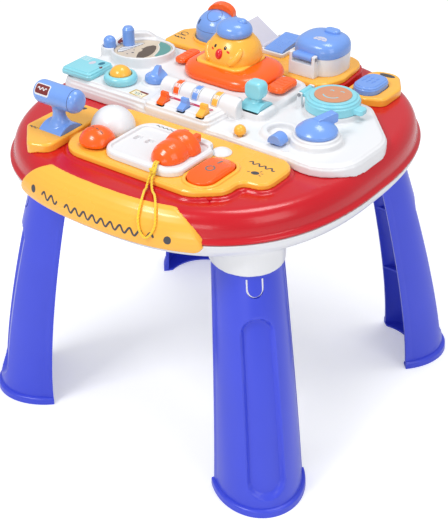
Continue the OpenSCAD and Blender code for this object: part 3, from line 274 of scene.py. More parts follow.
def joined(name, shapes):
    """A plain object of several closed shapes."""
    verts, faces = merged(shapes)
    mesh = bpy.data.meshes.new(name)
    mesh.from_pydata([tuple(v) for v in verts], [], faces)
    bm = bmesh.new()
    bm.from_mesh(mesh)
    bmesh.ops.recalc_face_normals(bm, faces=bm.faces)
    bm.to_mesh(mesh)
    bm.free()
    obj = bpy.data.objects.new(name, mesh)
    scene.collection.objects.link(obj)
    return obj


def fused(node, parts, voxel, rounds, cuts=(), operation="DIFFERENCE"):
    """One moulding made of overlapping closed parts, melted together; it replaces the node."""
    obj = joined(node + "_skin", parts)
    remeshed(obj, voxel)
    applied(obj)
    if cuts:
        cutter = joined(node + "_cutter", cuts)
        cut(obj, cutter, operation)
        remeshed(obj, voxel)
        applied(obj)
        bpy.data.objects.remove(cutter)
    smoothed(obj, rounds)
    applied(obj)
    stand_in(obj, node, 60)


def circle(count):
    return [2 * math.pi * i / count for i in range(count)]


def cos_sin(degrees):
    return math.cos(math.radians(degrees)), math.sin(math.radians(degrees))


def arch(cx, cy, axis_z, r, thick, w, spread_deg):
    """Curved saddle plate about an axis along X."""
    rows = []
    for i in range(33):
        a = math.radians(-spread_deg + 2 * spread_deg * i / 32)
        y, z = math.sin(a), math.cos(a)
        rows.append([at(cx + sx * w / 2, cy + q * y, axis_z + q * z)
                     for sx, q in ((-1, r - thick), (1, r - thick), (1, r), (-1, r))])
    return skin(rows)


def prism_y(outline, y0, y1):
    """Prism along Y over an outline in x and z."""
    return skin([[at(x, y, z) for x, z in outline] for y in (y0, y1)])


def prism_z(outline, z0, z1):
    """Upright prism over an outline in x and y."""
    return skin([[at(x, y, z) for x, y in outline] for z in (z0, z1)])


def lathe(cx, cy, profile, count=72, steps=6):
    return skin([[at(cx + r * math.cos(w), cy + r * math.sin(w), z) for w in circle(count)]
                 for r, z in spread(profile, steps)])


def skin(rings, closed=True):
    """Vertices and faces of a loft over rings with equal counts, capped at both ends if closed."""
    n = len(rings[0])
    verts = [v for r in rings for v in r]
    faces = []
    for j in range(len(rings) - 1):
        for i in range(n):
            k = (i + 1) % n
            faces.append((j * n + i, j * n + k, (j + 1) * n + k, (j + 1) * n + i))
    if closed:
        for j, ring in ((0, rings[0]), (len(rings) - 1, rings[-1])):
            c = len(verts)
            verts.append(sum((Vector(v) for v in ring), Vector()) / n)
            faces += [(j * n + i, j * n + (i + 1) % n, c) for i in range(n)]
    return verts, faces


def catmull(values, t):
    """Smooth value at t, from 0 to the last index, through a list of tuples."""
    i = min(int(t), len(values) - 2)
    f = t - i
    a, b, c, d = (values[max(i - 1, 0)], values[i], values[i + 1], values[min(i + 2, len(values) - 1)])
    return tuple(0.5 * (2 * q + (r - p) * f + (2 * p - 5 * q + 4 * r - s) * f * f
                        + (3 * q - p - 3 * r + s) * f ** 3) for p, q, r, s in zip(a, b, c, d))


def spread(values, steps):
    return [catmull(values, i / steps) for i in range((len(values) - 1) * steps + 1)]


def signed_pow(v, p):
    return math.copysign(abs(v) ** p, v)


def oval(cx, cy, z, hx, hy, n=2.0, count=96):
    return [at(cx + hx * signed_pow(math.cos(w), 2 / n), cy + hy * signed_pow(math.sin(w), 2 / n), z)
            for w in circle(count)]


def box_list(x0, x1, y0, y1, r):
    return [(x0, y0, r), (x1, y0, r), (x1, y1, r), (x0, y1, r)]


def corner(corners, i):
    """A corner, its neighbours, the directions to them and half the angle between these."""
    a, b, c = (Vector(corners[j % len(corners)][:2]) for j in (i - 1, i, i + 1))
    u, v = (a - b).normalized(), (c - b).normalized()
    return a, b, c, u, v, math.acos(max(-1, min(1, u.dot(v)))) / 2


def rounded(corners, steps=8):
    """Outline with arcs at its corners, from a counterclockwise list of (x, y, radius)."""
    out = []
    for i, (_, _, r) in enumerate(corners):
        _, b, _, u, v, half = corner(corners, i)
        m = b + (u + v).normalized() * r / math.sin(half)
        s, e = b + u * r / math.tan(half) - m, b + v * r / math.tan(half) - m
        a0 = math.atan2(s.y, s.x)
        da = (math.atan2(e.y, e.x) - a0 + math.pi) % (2 * math.pi) - math.pi
        out += [(m.x + r * math.cos(a0 + da * k / steps), m.y + r * math.sin(a0 + da * k / steps))
                for k in range(steps + 1)]
    return out


def drawn_in(corners, d):
    """The same corners a distance further in."""
    out = []
    for i in range(len(corners)):
        a, b, c, u, v, half = corner(corners, i)
        s = 1 if (b - a).cross(c - b) > 0 else -1
        q = b + (u + v).normalized() * s * d / math.sin(half)
        out.append((q.x, q.y, max(0.3, corners[i][2] - s * d)))
    return out


def turned(points, angle, cx=0.0, cy=0.0):
    c, s = cos_sin(angle)
    return [(cx + (x - cx) * c - (y - cy) * s, cy + (x - cx) * s + (y - cy) * c) for x, y in points]


def disc_points(cx, cy, rx, ry, angle=0.0, count=40):
    return turned([(cx + rx * math.cos(w), cy + ry * math.sin(w)) for w in circle(count)], angle, cx, cy)


def box_points(cx, cy, w, h, r, angle=0.0):
    return turned(rounded(box_list(cx - w / 2, cx + w / 2, cy - h / 2, cy + h / 2, r), 5), angle, cx, cy)


def tree_of(name):
    mesh = bpy.data.objects[name].data
    return BVHTree.FromPolygons([v.co.copy() for v in mesh.vertices],
                                [tuple(p.vertices) for p in mesh.polygons])


def mark(name, outline, target, material=INK_DARK, body="table", toward=(0, 0, -1), origin=None, lift=0.12,
         cell=2.0):
    """A thin printed patch laid on a tree's first surface from above, or along toward, with closed edges.
    outline is in the stations' x and y, or with origin=(point, u, v) in that plane."""
    def place(x, y):
        if origin is None:
            return at(x, y, RAY_TOP)
        return origin[0] + origin[1] * x * MM + origin[2] * y * MM

    bm = bmesh.new()
    face = bm.faces.new([bm.verts.new(place(x, y)) for x, y in outline])
    bmesh.ops.triangulate(bm, faces=[face])
    for _ in range(6):
        long = [e for e in bm.edges if e.calc_length() > cell * MM]
        if not long:
            break
        bmesh.ops.subdivide_edges(bm, edges=long, cuts=1, use_grid_fill=False)
        bmesh.ops.triangulate(bm, faces=[f for f in bm.faces if len(f.verts) > 3])
    ray = Vector(toward).normalized()
    top = {}
    for v in bm.verts:
        hit, n, _, _ = target.ray_cast(v.co, ray)
        if hit is not None:
            n = n if n.dot(ray) < 0 else -n
            top[v] = (hit + n * lift * MM, hit - n * 0.3 * MM)
    bmesh.ops.delete(bm, geom=[v for v in bm.verts if v not in top], context="VERTS")
    verts = list(bm.verts)
    index = {v: i for i, v in enumerate(verts)}
    n = len(verts)
    out = [top[v][0] for v in verts] + [top[v][1] for v in verts]
    faces = []
    for f in bm.faces:
        ids = [index[v] for v in f.verts]
        faces += [tuple(ids), tuple(i + n for i in reversed(ids))]
    for e in bm.edges:
        if len(e.link_faces) == 1:
            a, b = (index[v] for v in e.verts)
            faces.append((a, b, b + n, a + n))
    bm.free()
    return new_object(name, (out, faces), material, body)


def tube(points, radius, sides=12, close=False, twist=0.0, lobes=0, depth=0.0):
    """Rings of a tube that follows points; lobes and twist give it strands."""
    rings = []
    n = len(points)
    up = Vector((0.13, 0.21, 0.97))
    normal = None
    run = 0.0
    for i, p in enumerate(points):
        a = points[(i - 1) % n] if close else points[max(i - 1, 0)]
        b = points[(i + 1) % n] if close else points[min(i + 1, n - 1)]
        d = (b - a).normalized()
        if normal is None:
            normal = d.cross(up).normalized()
        normal = (normal - d * normal.dot(d)).normalized()
        side = d.cross(normal)
        if i:
            run += (p - points[i - 1]).length
        ring = []
        for w in circle(sides):
            r = radius * (1 - depth * 0.5 * (1 - math.cos(lobes * (w + twist * run))))
            ring.append(p + (normal * math.cos(w) + side * math.sin(w)) * r)
        rings.append(ring)
    return rings


def rod(points, radius, sides):
    """Tube through points, with both ends closed."""
    return skin(tube(points, radius, sides))


def hoop(points, radius, sides):
    """Closed tube through points."""
    rings = tube(points, radius, sides, close=True)
    return skin(rings + [rings[0]], closed=False)


# ---------------------------------------------------------------- the tray's outline

TRAY_HX, TRAY_HY, TRAY_N, TRAY_OFF, RING_N = 220, 233, 2.52, (-19, 15), 52
TRAY_CX, TRAY_CY = TRAY_OFF[0] + OX, TRAY_OFF[1] + OY
CORNERS = [(TRAY_HX * signed_pow(math.cos(2 * math.pi * i / RING_N), 2 / TRAY_N),
            TRAY_HY * signed_pow(math.sin(2 * math.pi * i / RING_N), 2 / TRAY_N)) for i in range(RING_N)]
CORNER_ANGLES = [math.atan2(y, x) % (2 * math.pi) for x, y in CORNERS]


def full_round(co):
    """Moves a point on the tray's flat facets out to the smooth outline."""
    x, y = co.x / MM - TRAY_CX, co.y / MM - TRAY_CY
    r = math.hypot(x, y)
    if r < 120:
        return co
    w = math.atan2(y, x) % (2 * math.pi)
    i = max((k for k in range(RING_N) if CORNER_ANGLES[k] <= w + 1e-9), default=RING_N - 1)
    (x0, y0), (x1, y1) = CORNERS[i], CORNERS[(i + 1) % RING_N]
    ux, uy = math.cos(w), math.sin(w)
    cross = ux * (y1 - y0) - uy * (x1 - x0)
    flat = (x0 * (y1 - y0) - y0 * (x1 - x0)) / cross
    true = (abs(ux / TRAY_HX) ** TRAY_N + abs(uy / TRAY_HY) ** TRAY_N) ** (-1 / TRAY_N)
    k = 1 + (true / flat - 1) * min(1, (r - 120) / 60)
    return Vector(((TRAY_CX + x * k) * MM, (TRAY_CY + y * k) * MM, co.z))


def tray_point(w, inset, z):
    hx, hy = TRAY_HX - inset, TRAY_HY - inset
    return Vector(((TRAY_CX + hx * signed_pow(math.cos(w), 2 / TRAY_N)) * MM,
                   (TRAY_CY + hy * signed_pow(math.sin(w), 2 / TRAY_N)) * MM, z * MM))


moulded("tray", 1.1, 8, shape=full_round)
moulded("base_pan", 1.5, 5, shape=full_round)

# Front band: a thick lip over the rim, its ends rounded off
BAND_LIP = [(4.2, -10.8), (2, -10.5), (-1.6, -8), (-3, -4), (-3.2, 3), (-2, 9), (0.5, 15), (4, 21),
            (8.5, 26.7), (13.5, 30.9), (17.8, 32.8), (19.3, 32.7), (19.6, 32), (19, 31), (15.5, 29.9),
            (12.5, 27.6), (9.9, 24.6), (7.8, 20.8), (6.3, 16.4), (5.3, 11.4), (5, 5.5), (0.8, 2.5), (0.3, 0),
            (1.5, -3.5), (3.6, -9)]  # distance in from the rim, height over the seam
BAND_ROUND = 57.7  # radius of the top corners, seen from the front
rows = [[tray_point(math.radians(-126 + 79 * i / 120), inset, SEAM_Z + up) for inset, up in BAND_LIP]
        for i in range(121)]
face = [(-111, -10.8), (95, -10.8), (103.5, -9), (109, -6)]
for centre, a0 in ((59, 23), (-76, 90)):
    face += [(centre + BAND_ROUND * c, -23.7 + BAND_ROUND * s)
             for c, s in (cos_sin(a0 + 67 * i / 16) for i in range(17))]
face += [(-126.5, -6), (-120, -9)]
ends = prism_y([(x, SEAM_Z + up) for x, up in face], -245, -150)
fused("front_band", [skin(rows)], 0.8, 6, cuts=[ends], operation="INTERSECT")
moulded("console_panel", 0.9, 9)

# Deck lands beside three windows, under the rounded edges of the pads
lands = [prism_z(rounded(box_list(x0, x1, y0, y1, 1), 3), top - 2.25, top - 0.05)
         for x0, x1, y0, y1, top in ((140, 161, 80, 97, DECK_Z), (84, 97, -159, -147, PLATEAU_Z),
                                     (-112, -108.2, -166, -104, DECK_Z))]
new_object("deck_lands", merged(lands), RED, "table")
for node, voxel, rounds in (
        ("front_pad", 0.7, 5), ("toggle_pad", 0.7, 5), ("right_pad", 0.7, 5), ("rear_pad", 0.7, 5),
        ("kettle_pad", 0.7, 5), ("socket_plate", 0.6, 8),
        ("lamp_button", 0.5, 4), ("toy_plug", 0.5, 5), ("oval_switch", 0.5, 5),
        ("cassette_block", 0.5, 14), ("dome_button", 0.4, 4),
        ("pillar_button", 0.4, 4), ("disc_handle", 0.4, 4),
        ("ball_button", 0.3, 3), ("half_round_key", 0.35, 5), ("stove_knob", 0.5, 7),
        ("pan_lid", 0.5, 7), ("side_key_left", 0.4, 6), ("side_key_right", 0.4, 6),
        ("right_button", 0.5, 6), ("cooker_body", 0.5, 5), ("cooker_button", 0.35, 5),
        ("key_box", 0.45, 4), ("ramp_key", 0.45, 5), ("page_flap", 0.5, 3), ("kettle_body", 0.6, 6),
        ("kettle_handle", 0.5, 6), ("lamp_globe", 0.6, 5), ("pilot_lens", 0.4, 4),
        ("turntable_disc", 0.6, 3)):
    moulded(node, voxel, rounds)


# Toggle: saddle, flared neck and barrel
TX, TY, TZ = -130, -134, 409
half_barrel = [(0.3, -32), (6.5, -31.4), (10.8, -29.4), (13.0, -25.8), (13.5, -22), (13.5, -8)]
barrel_rows = half_barrel + [(r, -x) for r, x in reversed(half_barrel)]
barrel = skin([[at(TX + 2 + x, TY + r * math.cos(w), TZ + r * math.sin(w)) for w in circle(64)]
               for r, x in spread(barrel_rows, 4)])
neck = lathe(TX, TY, [(15.5, 372), (12.0, 377), (9.2, 381), (7.6, 386), (7.4, 392), (8.4, 397), (10.5, 401)])
fused("toggle_lever", [arch(TX, TY, 352, 26, 9, 32, 64), neck, barrel,
                       lathe(TX, TY, [(6, 372.5), (7, 376), (7, 384), (6, 400)])], 0.5, 8)

# Shift lever: saddle, neck and rounded barrel head
GX, GY = 34, 15
cap = skin([[at(GX + x, GY + 8.4 * math.sin(b), RIGHT_Z + 30.5 + z)
             for x, z in rounded(box_list(-11.8 + d, 11.8 - d, -10.8 + d, 10.8 - d, 7.8 - d), 8)]
            for b, d in ((-1.57, 3.2), (-1.1, 1.2), (-0.6, 0.2), (0, 0), (0.6, 0.2), (1.1, 1.2), (1.57, 3.2))])
fused("gear_lever", [arch(GX, GY, RIGHT_Z - 3, 20, 8, 26, 50), cap,
                     lathe(GX, GY, [(8.5, 389), (6.6, 392.5), (5.4, 396), (6.4, 399)])], 0.4, 7)

# Tab keys: a flat foot over the slot and a leaning fin
for number, tx in enumerate((-59, -30, -3), 1):
    foot = skin([[at(tx + sx * 4.4, -37 + y, z) for sx, z in ((-1, 383), (1, 383), (1, top), (-1, top))]
                 for y, top in ((-7.2, 385.9), (-4.5, 386.6), (-1.5, 388.6), (1.5, 390.5), (7.0, 390.5))])
    fin = skin([[at(tx + sx * 4.5, -37 + y, z) for sx, y in ((-1, y0), (1, y0), (1, y1), (-1, y1))]
                for z, y0, y1 in ((384, 0.5, 6.8), (392.5, 0.8, 6.0), (395.6, 1.6, 5.4))])
    fused(f"tab_key_{number}", [foot, fin], 0.3, 3)

# Rotary knob: a dome scooped on both sides of a tall fin
KNX, KNY = -101, 4
knob_dome = lathe(KNX, KNY, [(r, LEFT_Z + z) for r, z in (
    (13.4, 3.4), (13.8, 5), (13.4, 9), (11.4, 13.2), (8.0, 15.8), (3.5, 17), (0.2, 17.2))])
fin_line = [(-13.2, 4), (13.4, 4), (13.4, 13.0), (10.5, 18.4), (3, 19.6), (-5, 16.8), (-11, 11)]
c20, s20 = cos_sin(20)


def knob_at(x, y, z):
    """A point beside the knob's fin, x along it and z over the console's left deck."""
    return at(KNX + x * -s20 - y * c20, KNY + x * c20 - y * s20, LEFT_Z + z)


fin = skin([[knob_at(x, y, z) for x, z in fin_line] for y in (-3.1, 3.1)])
sides = []
for side in (-1, 1):
    sides.append(skin([[knob_at(-15 + 2.5 * i, side * (12.5 - 9.4 * math.cos(t)), 21 - 11.5 * math.sin(t))
                        for t in (math.pi * k / 12 for k in range(13))] for i in range(13)]))
fused("rotary_knob", [knob_dome, fin], 0.4, 4, cuts=sides)

# Fat ring around the dome button
DMX, DMY = -138.5, -17
ring_rows = [(13.6, 0.3), (17.6, 0.3), (19.4, 1.2), (20.3, 4), (19.6, 7.6), (17.4, 10.0), (15.0, 10.6),
             (13.7, 9.6), (13.5, 7), (13.5, 2)]
rows = [[at(DMX + r * math.cos(w), DMY + r * math.sin(w), LEFT_Z + z) for w in circle(96)]
        for r, z in spread(ring_rows, 4)]
own_shape("dome_collar", skin(rows + [rows[0]], closed=False))

# ---------------------------------------------------------------- legs

LEG_REACH, LEG_SPLAY, LEG_HALF, LEG_TOP_HALF = 292, 65, 51, 39
LEG_DEEP, LEG_TOP_DEEP, LEG_WALL = 64, 42, 3.0
GROOVE_W, GROOVE_D, GROOVE_Z0, GROOVE_Z1 = 34, 7, 42, 216
FOOT_OFF, TOP_OFF = (-11, 21), (-17, 16)
LATCH_Z, WEB_LEVELS, WEB_THICK = 266, (0, 96, 190), 2.5


def smooth_step(v):
    v = max(0.0, min(1.0, v))
    return v * v * (3 - 2 * v)


def leg_values(z):
    zc = max(0, min(SOCKET_Z, z))
    k = zc / SOCKET_Z
    out = LEG_REACH - LEG_SPLAY * k ** 1.35
    half = LEG_HALF + (LEG_TOP_HALF - LEG_HALF) * k
    deep = LEG_DEEP + (LEG_TOP_DEEP - LEG_DEEP) * k
    off = [FOOT_OFF[i] + (TOP_OFF[i] - FOOT_OFF[i]) * k for i in (0, 1)]
    return out, half, deep, off


def groove(y, z):
    c = max(GROOVE_Z0, min(GROOVE_Z1, z))
    w = GROOVE_W / 2 + 3 * (GROOVE_Z1 - c) / (GROOVE_Z1 - GROOVE_Z0)
    return GROOVE_D * smooth_step((w + 2.5 - math.hypot(y, z - c)) / 6)


def lip_out(z):
    return 4.0 * (1 if z < 7 else max(0.0, 1 - ((z - 7) / 2.2) ** 2) ** 0.5 if z < 9.2 else 0.0)


def leg_point(angle, off, r, y, z):
    """Station coordinates of a point r out along a leg's direction and y across it."""
    c, s = cos_sin(angle)
    return at(r * c - y * s + off[0], r * s + y * c + off[1], z)


def leg_wire(angle, z):
    """Closed C-shaped section of a leg at height z."""
    out, half, deep, off = leg_values(z)
    steps = 72
    pts = []
    for inner in (False, True):
        t = LEG_WALL if inner else -lip_out(z)
        row = []
        for i in range(steps + 1):
            b = -math.pi / 2 + math.pi * i / steps
            y = (half - t) * math.sin(b)
            r = out - deep + (deep - t) * math.cos(b)
            if abs(b) < 0.95:
                r -= groove(y, z)
            if not inner and 9.2 < z < SOCKET_Z - 1 and deep * math.cos(b) < 7:
                y *= 1 + 1.1 * smooth_step((7 - deep * math.cos(b)) / 1.2) / half
            row.append((r, y))
        pts += reversed(row) if inner else row
    return [leg_point(angle, off, r, y, z) for r, y in pts]


def leg_levels():
    z = [0, 0.6, 2, 4, 6, 7, 7.6, 8.2, 8.7, 9.0, 9.19, 9.3, 11]
    z += [14 + 2 * i for i in range(0, 22)] + [60 + 5 * i for i in range(0, 28)]
    z += [200 + 2 * i for i in range(0, 20)] + [244, 252, 260, 268, 276, 281, 290, 300, 310, 319.7]
    return sorted(set(z))


def ring_skin(rings):
    """A tube wall: every ring runs out along one face of the wall and back along the other."""
    n = len(rings[0])
    half = n // 2
    verts, faces = skin(rings, closed=False)
    for j in (0, len(rings) - 1):
        for i in range(half - 1):
            faces.append((j * n + i, j * n + i + 1, j * n + n - 2 - i, j * n + n - 1 - i))
    return verts, faces


def latch_cutter(angle):
    """A U-shaped slot through the outer wall, around the leg's latch."""
    out, _, _, off = leg_values(LATCH_Z)
    arc_points = [(math.cos(a), math.sin(a)) for a in (-math.pi * i / 20 for i in range(21))]
    outer = [(9.5, 11)] + [(9.5 * c, 9.5 * s) for c, s in arc_points] + [(-9.5, 11)]
    inner = [(-7.5, 11)] + [(7.5 * c, 7.5 * s) for c, s in reversed(arc_points)] + [(7.5, 11)]
    return ring_skin([[leg_point(angle, off, r, y, LATCH_Z + z) for y, z in outer + inner]
                      for r in (out - 13, out + 10)])


def make_leg(node, angle):
    leg = own_shape(node, ring_skin([leg_wire(angle, z) for z in leg_levels()]))
    cut_by(leg, latch_cutter(angle), 32)
    for z in WEB_LEVELS:
        out, half, deep, off = leg_values(z)
        loop = []
        for i in range(41):
            b = -math.pi / 2 + math.pi * i / 40
            y, r = (half - 1.5) * math.sin(b), out - deep + (deep - 1.5) * math.cos(b)
            r -= (GROOVE_D + 0.5) if abs(b) < 0.8 and 40 < z < 218 else 0
            loop.append((r, y))
        centre = out - deep - 30
        for i in range(31):
            a = math.radians(55 - 110 * i / 30)
            x, y = centre + 52 * math.cos(a), 52 * math.sin(a)
            if abs(y) < half - 2:
                loop.append((max(x, out - deep + 0.5), y))
        low, top = ([leg_point(angle, off, r, y, h) for r, y in loop] for h in (max(z, 0.02), z + WEB_THICK))
        n = len(loop)
        faces = [tuple(range(n)), tuple(range(2 * n - 1, n - 1, -1))]
        faces += [(i, n + i, n + (i + 1) % n, (i + 1) % n) for i in range(n)]
        new_object(f"{node}_web_{z}", (low + top, faces), LEG, "table")


for node, angle in (("leg_front_left", 225), ("leg_front_right", 315), ("leg_rear_left", 135),
                    ("leg_rear_right", 45)):
    make_leg(node, angle)


# ---------------------------------------------------------------- figure, cooker lid and dish

FX, FY, FR, FTOP = -44.5, 82.5, 32.5, DISH_Z + 46


def oval_stack(rows, z0, cx, cy, r, n, count=120):
    """A closed form of ovals, from rows of a scale of r and a height over z0."""
    return skin([oval(cx, cy, z0 + z, r * k, r * k, n, count) for k, z in spread(rows, 6)])


body_rows = [(0.90, 11.2), (0.96, 14), (1.0, 19), (1.0, 24), (0.97, 30), (0.89, 36), (0.77, 41.5), (0.63, 45.8),
             (0.45, 46)]
own_shape("figure_body", oval_stack(body_rows, DISH_Z, FX, FY, FR, 2.3))
cap_rows = [(0.45, 0.05), (0.57, 0.15), (0.625, 1.4), (0.655, 4.5), (0.645, 7.5), (0.58, 11.5), (0.45, 15),
            (0.26, 17), (0.04, 17.6)]
own_shape("figure_cap", oval_stack(cap_rows, FTOP, FX, FY, FR, 2.12))
knob_rows = [(0.7, 12), (1.0, 15.4), (0.86, 18.2), (0.5, 19.6), (0.03, 20.2)]
new_object("figure_cap_knob", oval_stack(knob_rows, FTOP, FX + 9, FY + 3, 5.6, 2.0, 48), SKY, "figure")


def box_stack(corners, rows, arc_steps, steps):
    """A closed form over rounded corners, from rows of a distance inward and a height over the dish's deck."""
    return skin([[at(x, y, DISH_Z + z) for x, y in rounded(drawn_in(corners, d), arc_steps)]
                 for d, z in spread(rows, steps)])


skirt = box_list(-80, -13, 47, 110, 12)
rows = [(3.0, 11.0), (0.4, 11.4), (0.0, 13), (0.0, 16.2), (0.7, 17.5), (2.2, 18.1), (5.0, 18.3)]
new_object("figure_skirt", box_stack(skirt, rows, 12, 4), YELLOW, "figure")

dish_rows = [(4.0, 0.05), (1.2, 0.5), (0.0, 3), (0.0, 6), (1.2, 9), (3.6, 11.6), (8, 14), (13, 15.5),
             (18, 16.2)]
dish = own_shape("dish", box_stack(box_list(-96, 18, 30, 120, 34), dish_rows, 14, 5))
cut_by(dish, prism_z(rounded(drawn_in(skirt, -0.8), 12), DISH_Z + 8, DISH_Z + 20), 35)

CX, CY, CR, CSEAM, CTOP = 28, 166, 31.5, REAR_Z + 21.5, REAR_Z + 41
lid_rows = [(3.0, CSEAM + 0.3), (0.5, CSEAM + 0.35), (0.0, CSEAM + 1.2), (0.1, CTOP - 13), (0.6, CTOP - 10),
            (2.2, CTOP - 6.2), (5.2, CTOP - 3.1), (9.8, CTOP - 1), (16, CTOP - 0.1), (23, CTOP + 0.1)]
own_shape("cooker_lid", skin([oval(CX, CY, z, CR - d, CR - d, 2.6, 120) for d, z in spread(lid_rows, 5)]))
hx, hy = CX - 5, CY - CR - 5
axis = [at(hx - 12.9 + 25.8 * i / 24, hy, CSEAM + 2) for i in range(25)]
new_object("cooker_lid_barrel", rod(axis, 3.8 * MM, 32), SKY, "cooker")
tongue = rounded(box_list(hx - 12.6, hx + 12.6, hy + 0.4, hy + 7, 0.8), 3)
new_object("cooker_lid_tongue", prism_z(tongue, CSEAM + 1.2, CSEAM + 5.6), SKY, "cooker")

# ---------------------------------------------------------------- printed and embossed details

def stroke(points, width):
    """Outline of a line of that width with round ends, through points."""
    pts = [Vector(p) for p in points]
    left, right = [], []
    for i, p in enumerate(pts):
        d = (pts[min(i + 1, len(pts) - 1)] - pts[max(i - 1, 0)]).normalized()
        n = Vector((-d.y, d.x)) * width / 2
        left.append(p + n)
        right.append(p - n)

    def end(p, a, b):
        w = math.atan2(a.y - p.y, a.x - p.x)
        return [p + Vector((math.cos(w - math.pi * k / 6), math.sin(w - math.pi * k / 6))) * width / 2
                for k in range(1, 6)]

    out = left + end(pts[-1], left[-1], right[-1]) + right[::-1] + end(pts[0], right[0], left[0])
    return [(v.x, v.y) for v in out]


def wave(x0, x1, y, height, pitch, width, tilt=0.0):
    count = max(8, int(abs(x1 - x0) / pitch * 12))
    line = [(x0 + (x1 - x0) * i / count, y + height / 2 * math.sin(2 * math.pi * i * (x1 - x0) / count / pitch))
            for i in range(count + 1)]
    return stroke(turned(line, tilt, (x0 + x1) / 2, y), width)


def arc(cx, cy, rx, ry, a0, a1, width, tilt=0.0):
    line = [(cx + rx * c, cy + ry * s) for c, s in (cos_sin(a0 + (a1 - a0) * i / 28) for i in range(29))]
    return stroke(turned(line, tilt, cx, cy), width)


# Front band: a dot at each end and a wavy line in two lengths
band = tree_of("front_band_skin")
front = (at(0, -240, 0), Vector((1, 0, 0)), Vector((0, 0, 1)))


def on_band(name, outline):
    mark(name, outline, band, toward=(0, 1, 0), origin=front, cell=2.5)


on_band("band_dot_left", disc_points(-101.7, 336.2, 3.7, 4.3))
on_band("band_dot_right", disc_points(79.2, 333.4, 3.9, 4.5))
on_band("band_wave_short", wave(-86, -62, 336.0, 7.0, 12, 2.3))
on_band("band_wave_long", wave(-50, 64, 334.2, 7.0, 12, 2.3))

# Pads of the front and the sides
pad = tree_of("toggle_pad_skin")
mark("toggle_pad_wave", wave(-159, -148.5, -152.2, 2.6, 5, 1.2), pad)
leaf = [(-5, -2.2), (-3.4, 1.6), (0, 3.2), (3.4, 2.6), (5.2, 0.6), (3.4, -1.6), (0.6, -3.0), (-2.4, -3.2)]
mark("toggle_pad_leaf", turned([(x * 0.95 - 139.6, y * 0.95 - 84.2) for x, y in leaf], 35, -139.6, -84.2),
     pad, INK_DARK, "table")

pad = tree_of("front_pad_skin")
mark("front_pad_wave", wave(90.5, 123.5, -78.6, 4.6, 8.4, 1.8, tilt=-3), pad)
mark("front_pad_sun", disc_points(109.2, -95.4, 4.6, 3.5, 10), pad)
for i, w in enumerate((-20, 22, 62, 190)):
    c, s = cos_sin(w)
    ray = [(109.2 + 6.6 * c, -95.4 + 5.4 * s), (109.2 + 9.0 * c, -95.4 + 7.8 * s)]
    mark(f"front_pad_ray_{i}", stroke(ray, 1.0), pad)
mark("socket_wave", wave(-32, -8, -82.6, 1.8, 6, 1.0), tree_of("socket_plate_skin"))

pad = tree_of("lamp_button_skin")
for i in range(4):
    dash = [(-81 + 6.2 * i, -141.6 - 0.5 * i), (-77.5 + 6.2 * i, -141.9 - 0.5 * i)]
    mark(f"lamp_dash_{i}", stroke(dash, 1.3), pad, INK_BROWN, "lamp_push")

pad = tree_of("oval_switch_skin")
mark("switch_ring", arc(73.3, -126.0, 4.6, 4.9, 110, 430, 1.9), pad, INK_GREY, "rocker")
mark("switch_drop", stroke([(73.6, -121.2), (73.6, -119.6)], 1.6), pad, INK_GREY, "rocker")
mark("switch_bar", stroke([(72.6, -111.5), (72.6, -103.5)], 2.4), pad, INK_GREY, "rocker")

pad = tree_of("right_pad_skin")
mark("right_pad_label", disc_points(99.5, 201.0, 10.5, 4.2, 0), pad)
pad = tree_of("right_button_skin")
for i, x in enumerate((91.5, 98.0, 104.5)):
    mark(f"right_button_wave_{i}", turned(wave(x - 8, x + 8, 162, 1.8, 8, 1.3), 90, x, 162), pad, SKY,
         "right_push", lift=0.5, cell=1.2)

pad = tree_of("kettle_pad_skin")
mark("kettle_pad_cap", arc(-169.5, 148.5, 5.2, 4.0, 20, 330, 1.1, tilt=-20), pad)
mark("kettle_pad_brim", stroke([(-176.5, 143.5), (-163.5, 142.5)], 1.1), pad)
mark("kettle_pad_wave", wave(-177, -159, 135.3, 2.6, 5, 1.4, tilt=-4), pad)

# Cassette: lines, a pale oval and two dark ones
pad = tree_of("cassette_block_skin")
for i in range(5):
    mark(f"cassette_line_{i}", stroke([(-206.5, -9.5 + 3.2 * i), (-194.5, -9.5 + 3.2 * i)], 0.7), pad,
         INK_WHITE, "table", lift=0.06)
mark("cassette_oval", disc_points(-187, -11.4, 3.4, 5.0, -10), pad, GREY)
mark("cassette_reel", disc_points(-176.0, -7.2, 3.2, 4.9, -10), pad, INK_TEAL)
mark("cassette_mark", disc_points(-171.6, -14.6, 1.6, 2.6, -10), pad, INK_MAROON)

# Turntable print
disc = tree_of("turntable_disc_skin")


def on_disc(name, outline, look, lift=0.12):
    mark(name, outline, disc, look, "turntable", lift=lift)


DX, DY, DR = -163, 56, 34.2
teal = [(DX + DR * c, DY + DR * s) for c, s in (cos_sin(a) for a in range(-24, 93, 6))]
on_disc("disc_teal", teal + [(-158, 81), (-150.5, 73.5), (-143.5, 63.5), (-138.5, 52.5), (-135.5, 44)],
        INK_SAGE)
rim_line = [(-160.5, 82.5), (-152.5, 74.5), (-145.5, 64.5), (-140.5, 53.5), (-137, 43)]
on_disc("disc_rim_line", stroke(rim_line, 0.9), INK_WHITE, 0.16)
on_disc("disc_brown", [(-150, 26.5), (-155, 34), (-159.8, 43), (-160.4, 51), (-165, 58), (-165.8, 66),
                       (-162.2, 74.6), (-157, 74.2), (-151, 66.7), (-146, 57.5), (-142.5, 48), (-141, 38.6),
                       (-142.2, 30.5)], INK_BROWN)
patch = [(-181.5, 28.5), (-187.5, 36), (-190.5, 46), (-190.0, 57), (-186.5, 67), (-181, 74.5), (-176, 75.5),
         (-175.2, 68), (-176.2, 58), (-177.5, 47), (-178.2, 37)]
on_disc("disc_patch_edge", patch, INK_BROWN, 0.10)
inner = [(x + (-182 - x) * 0.09, y + (52 - y) * 0.035) for x, y in patch]
on_disc("disc_patch", inner, INK_WHITE, 0.16)
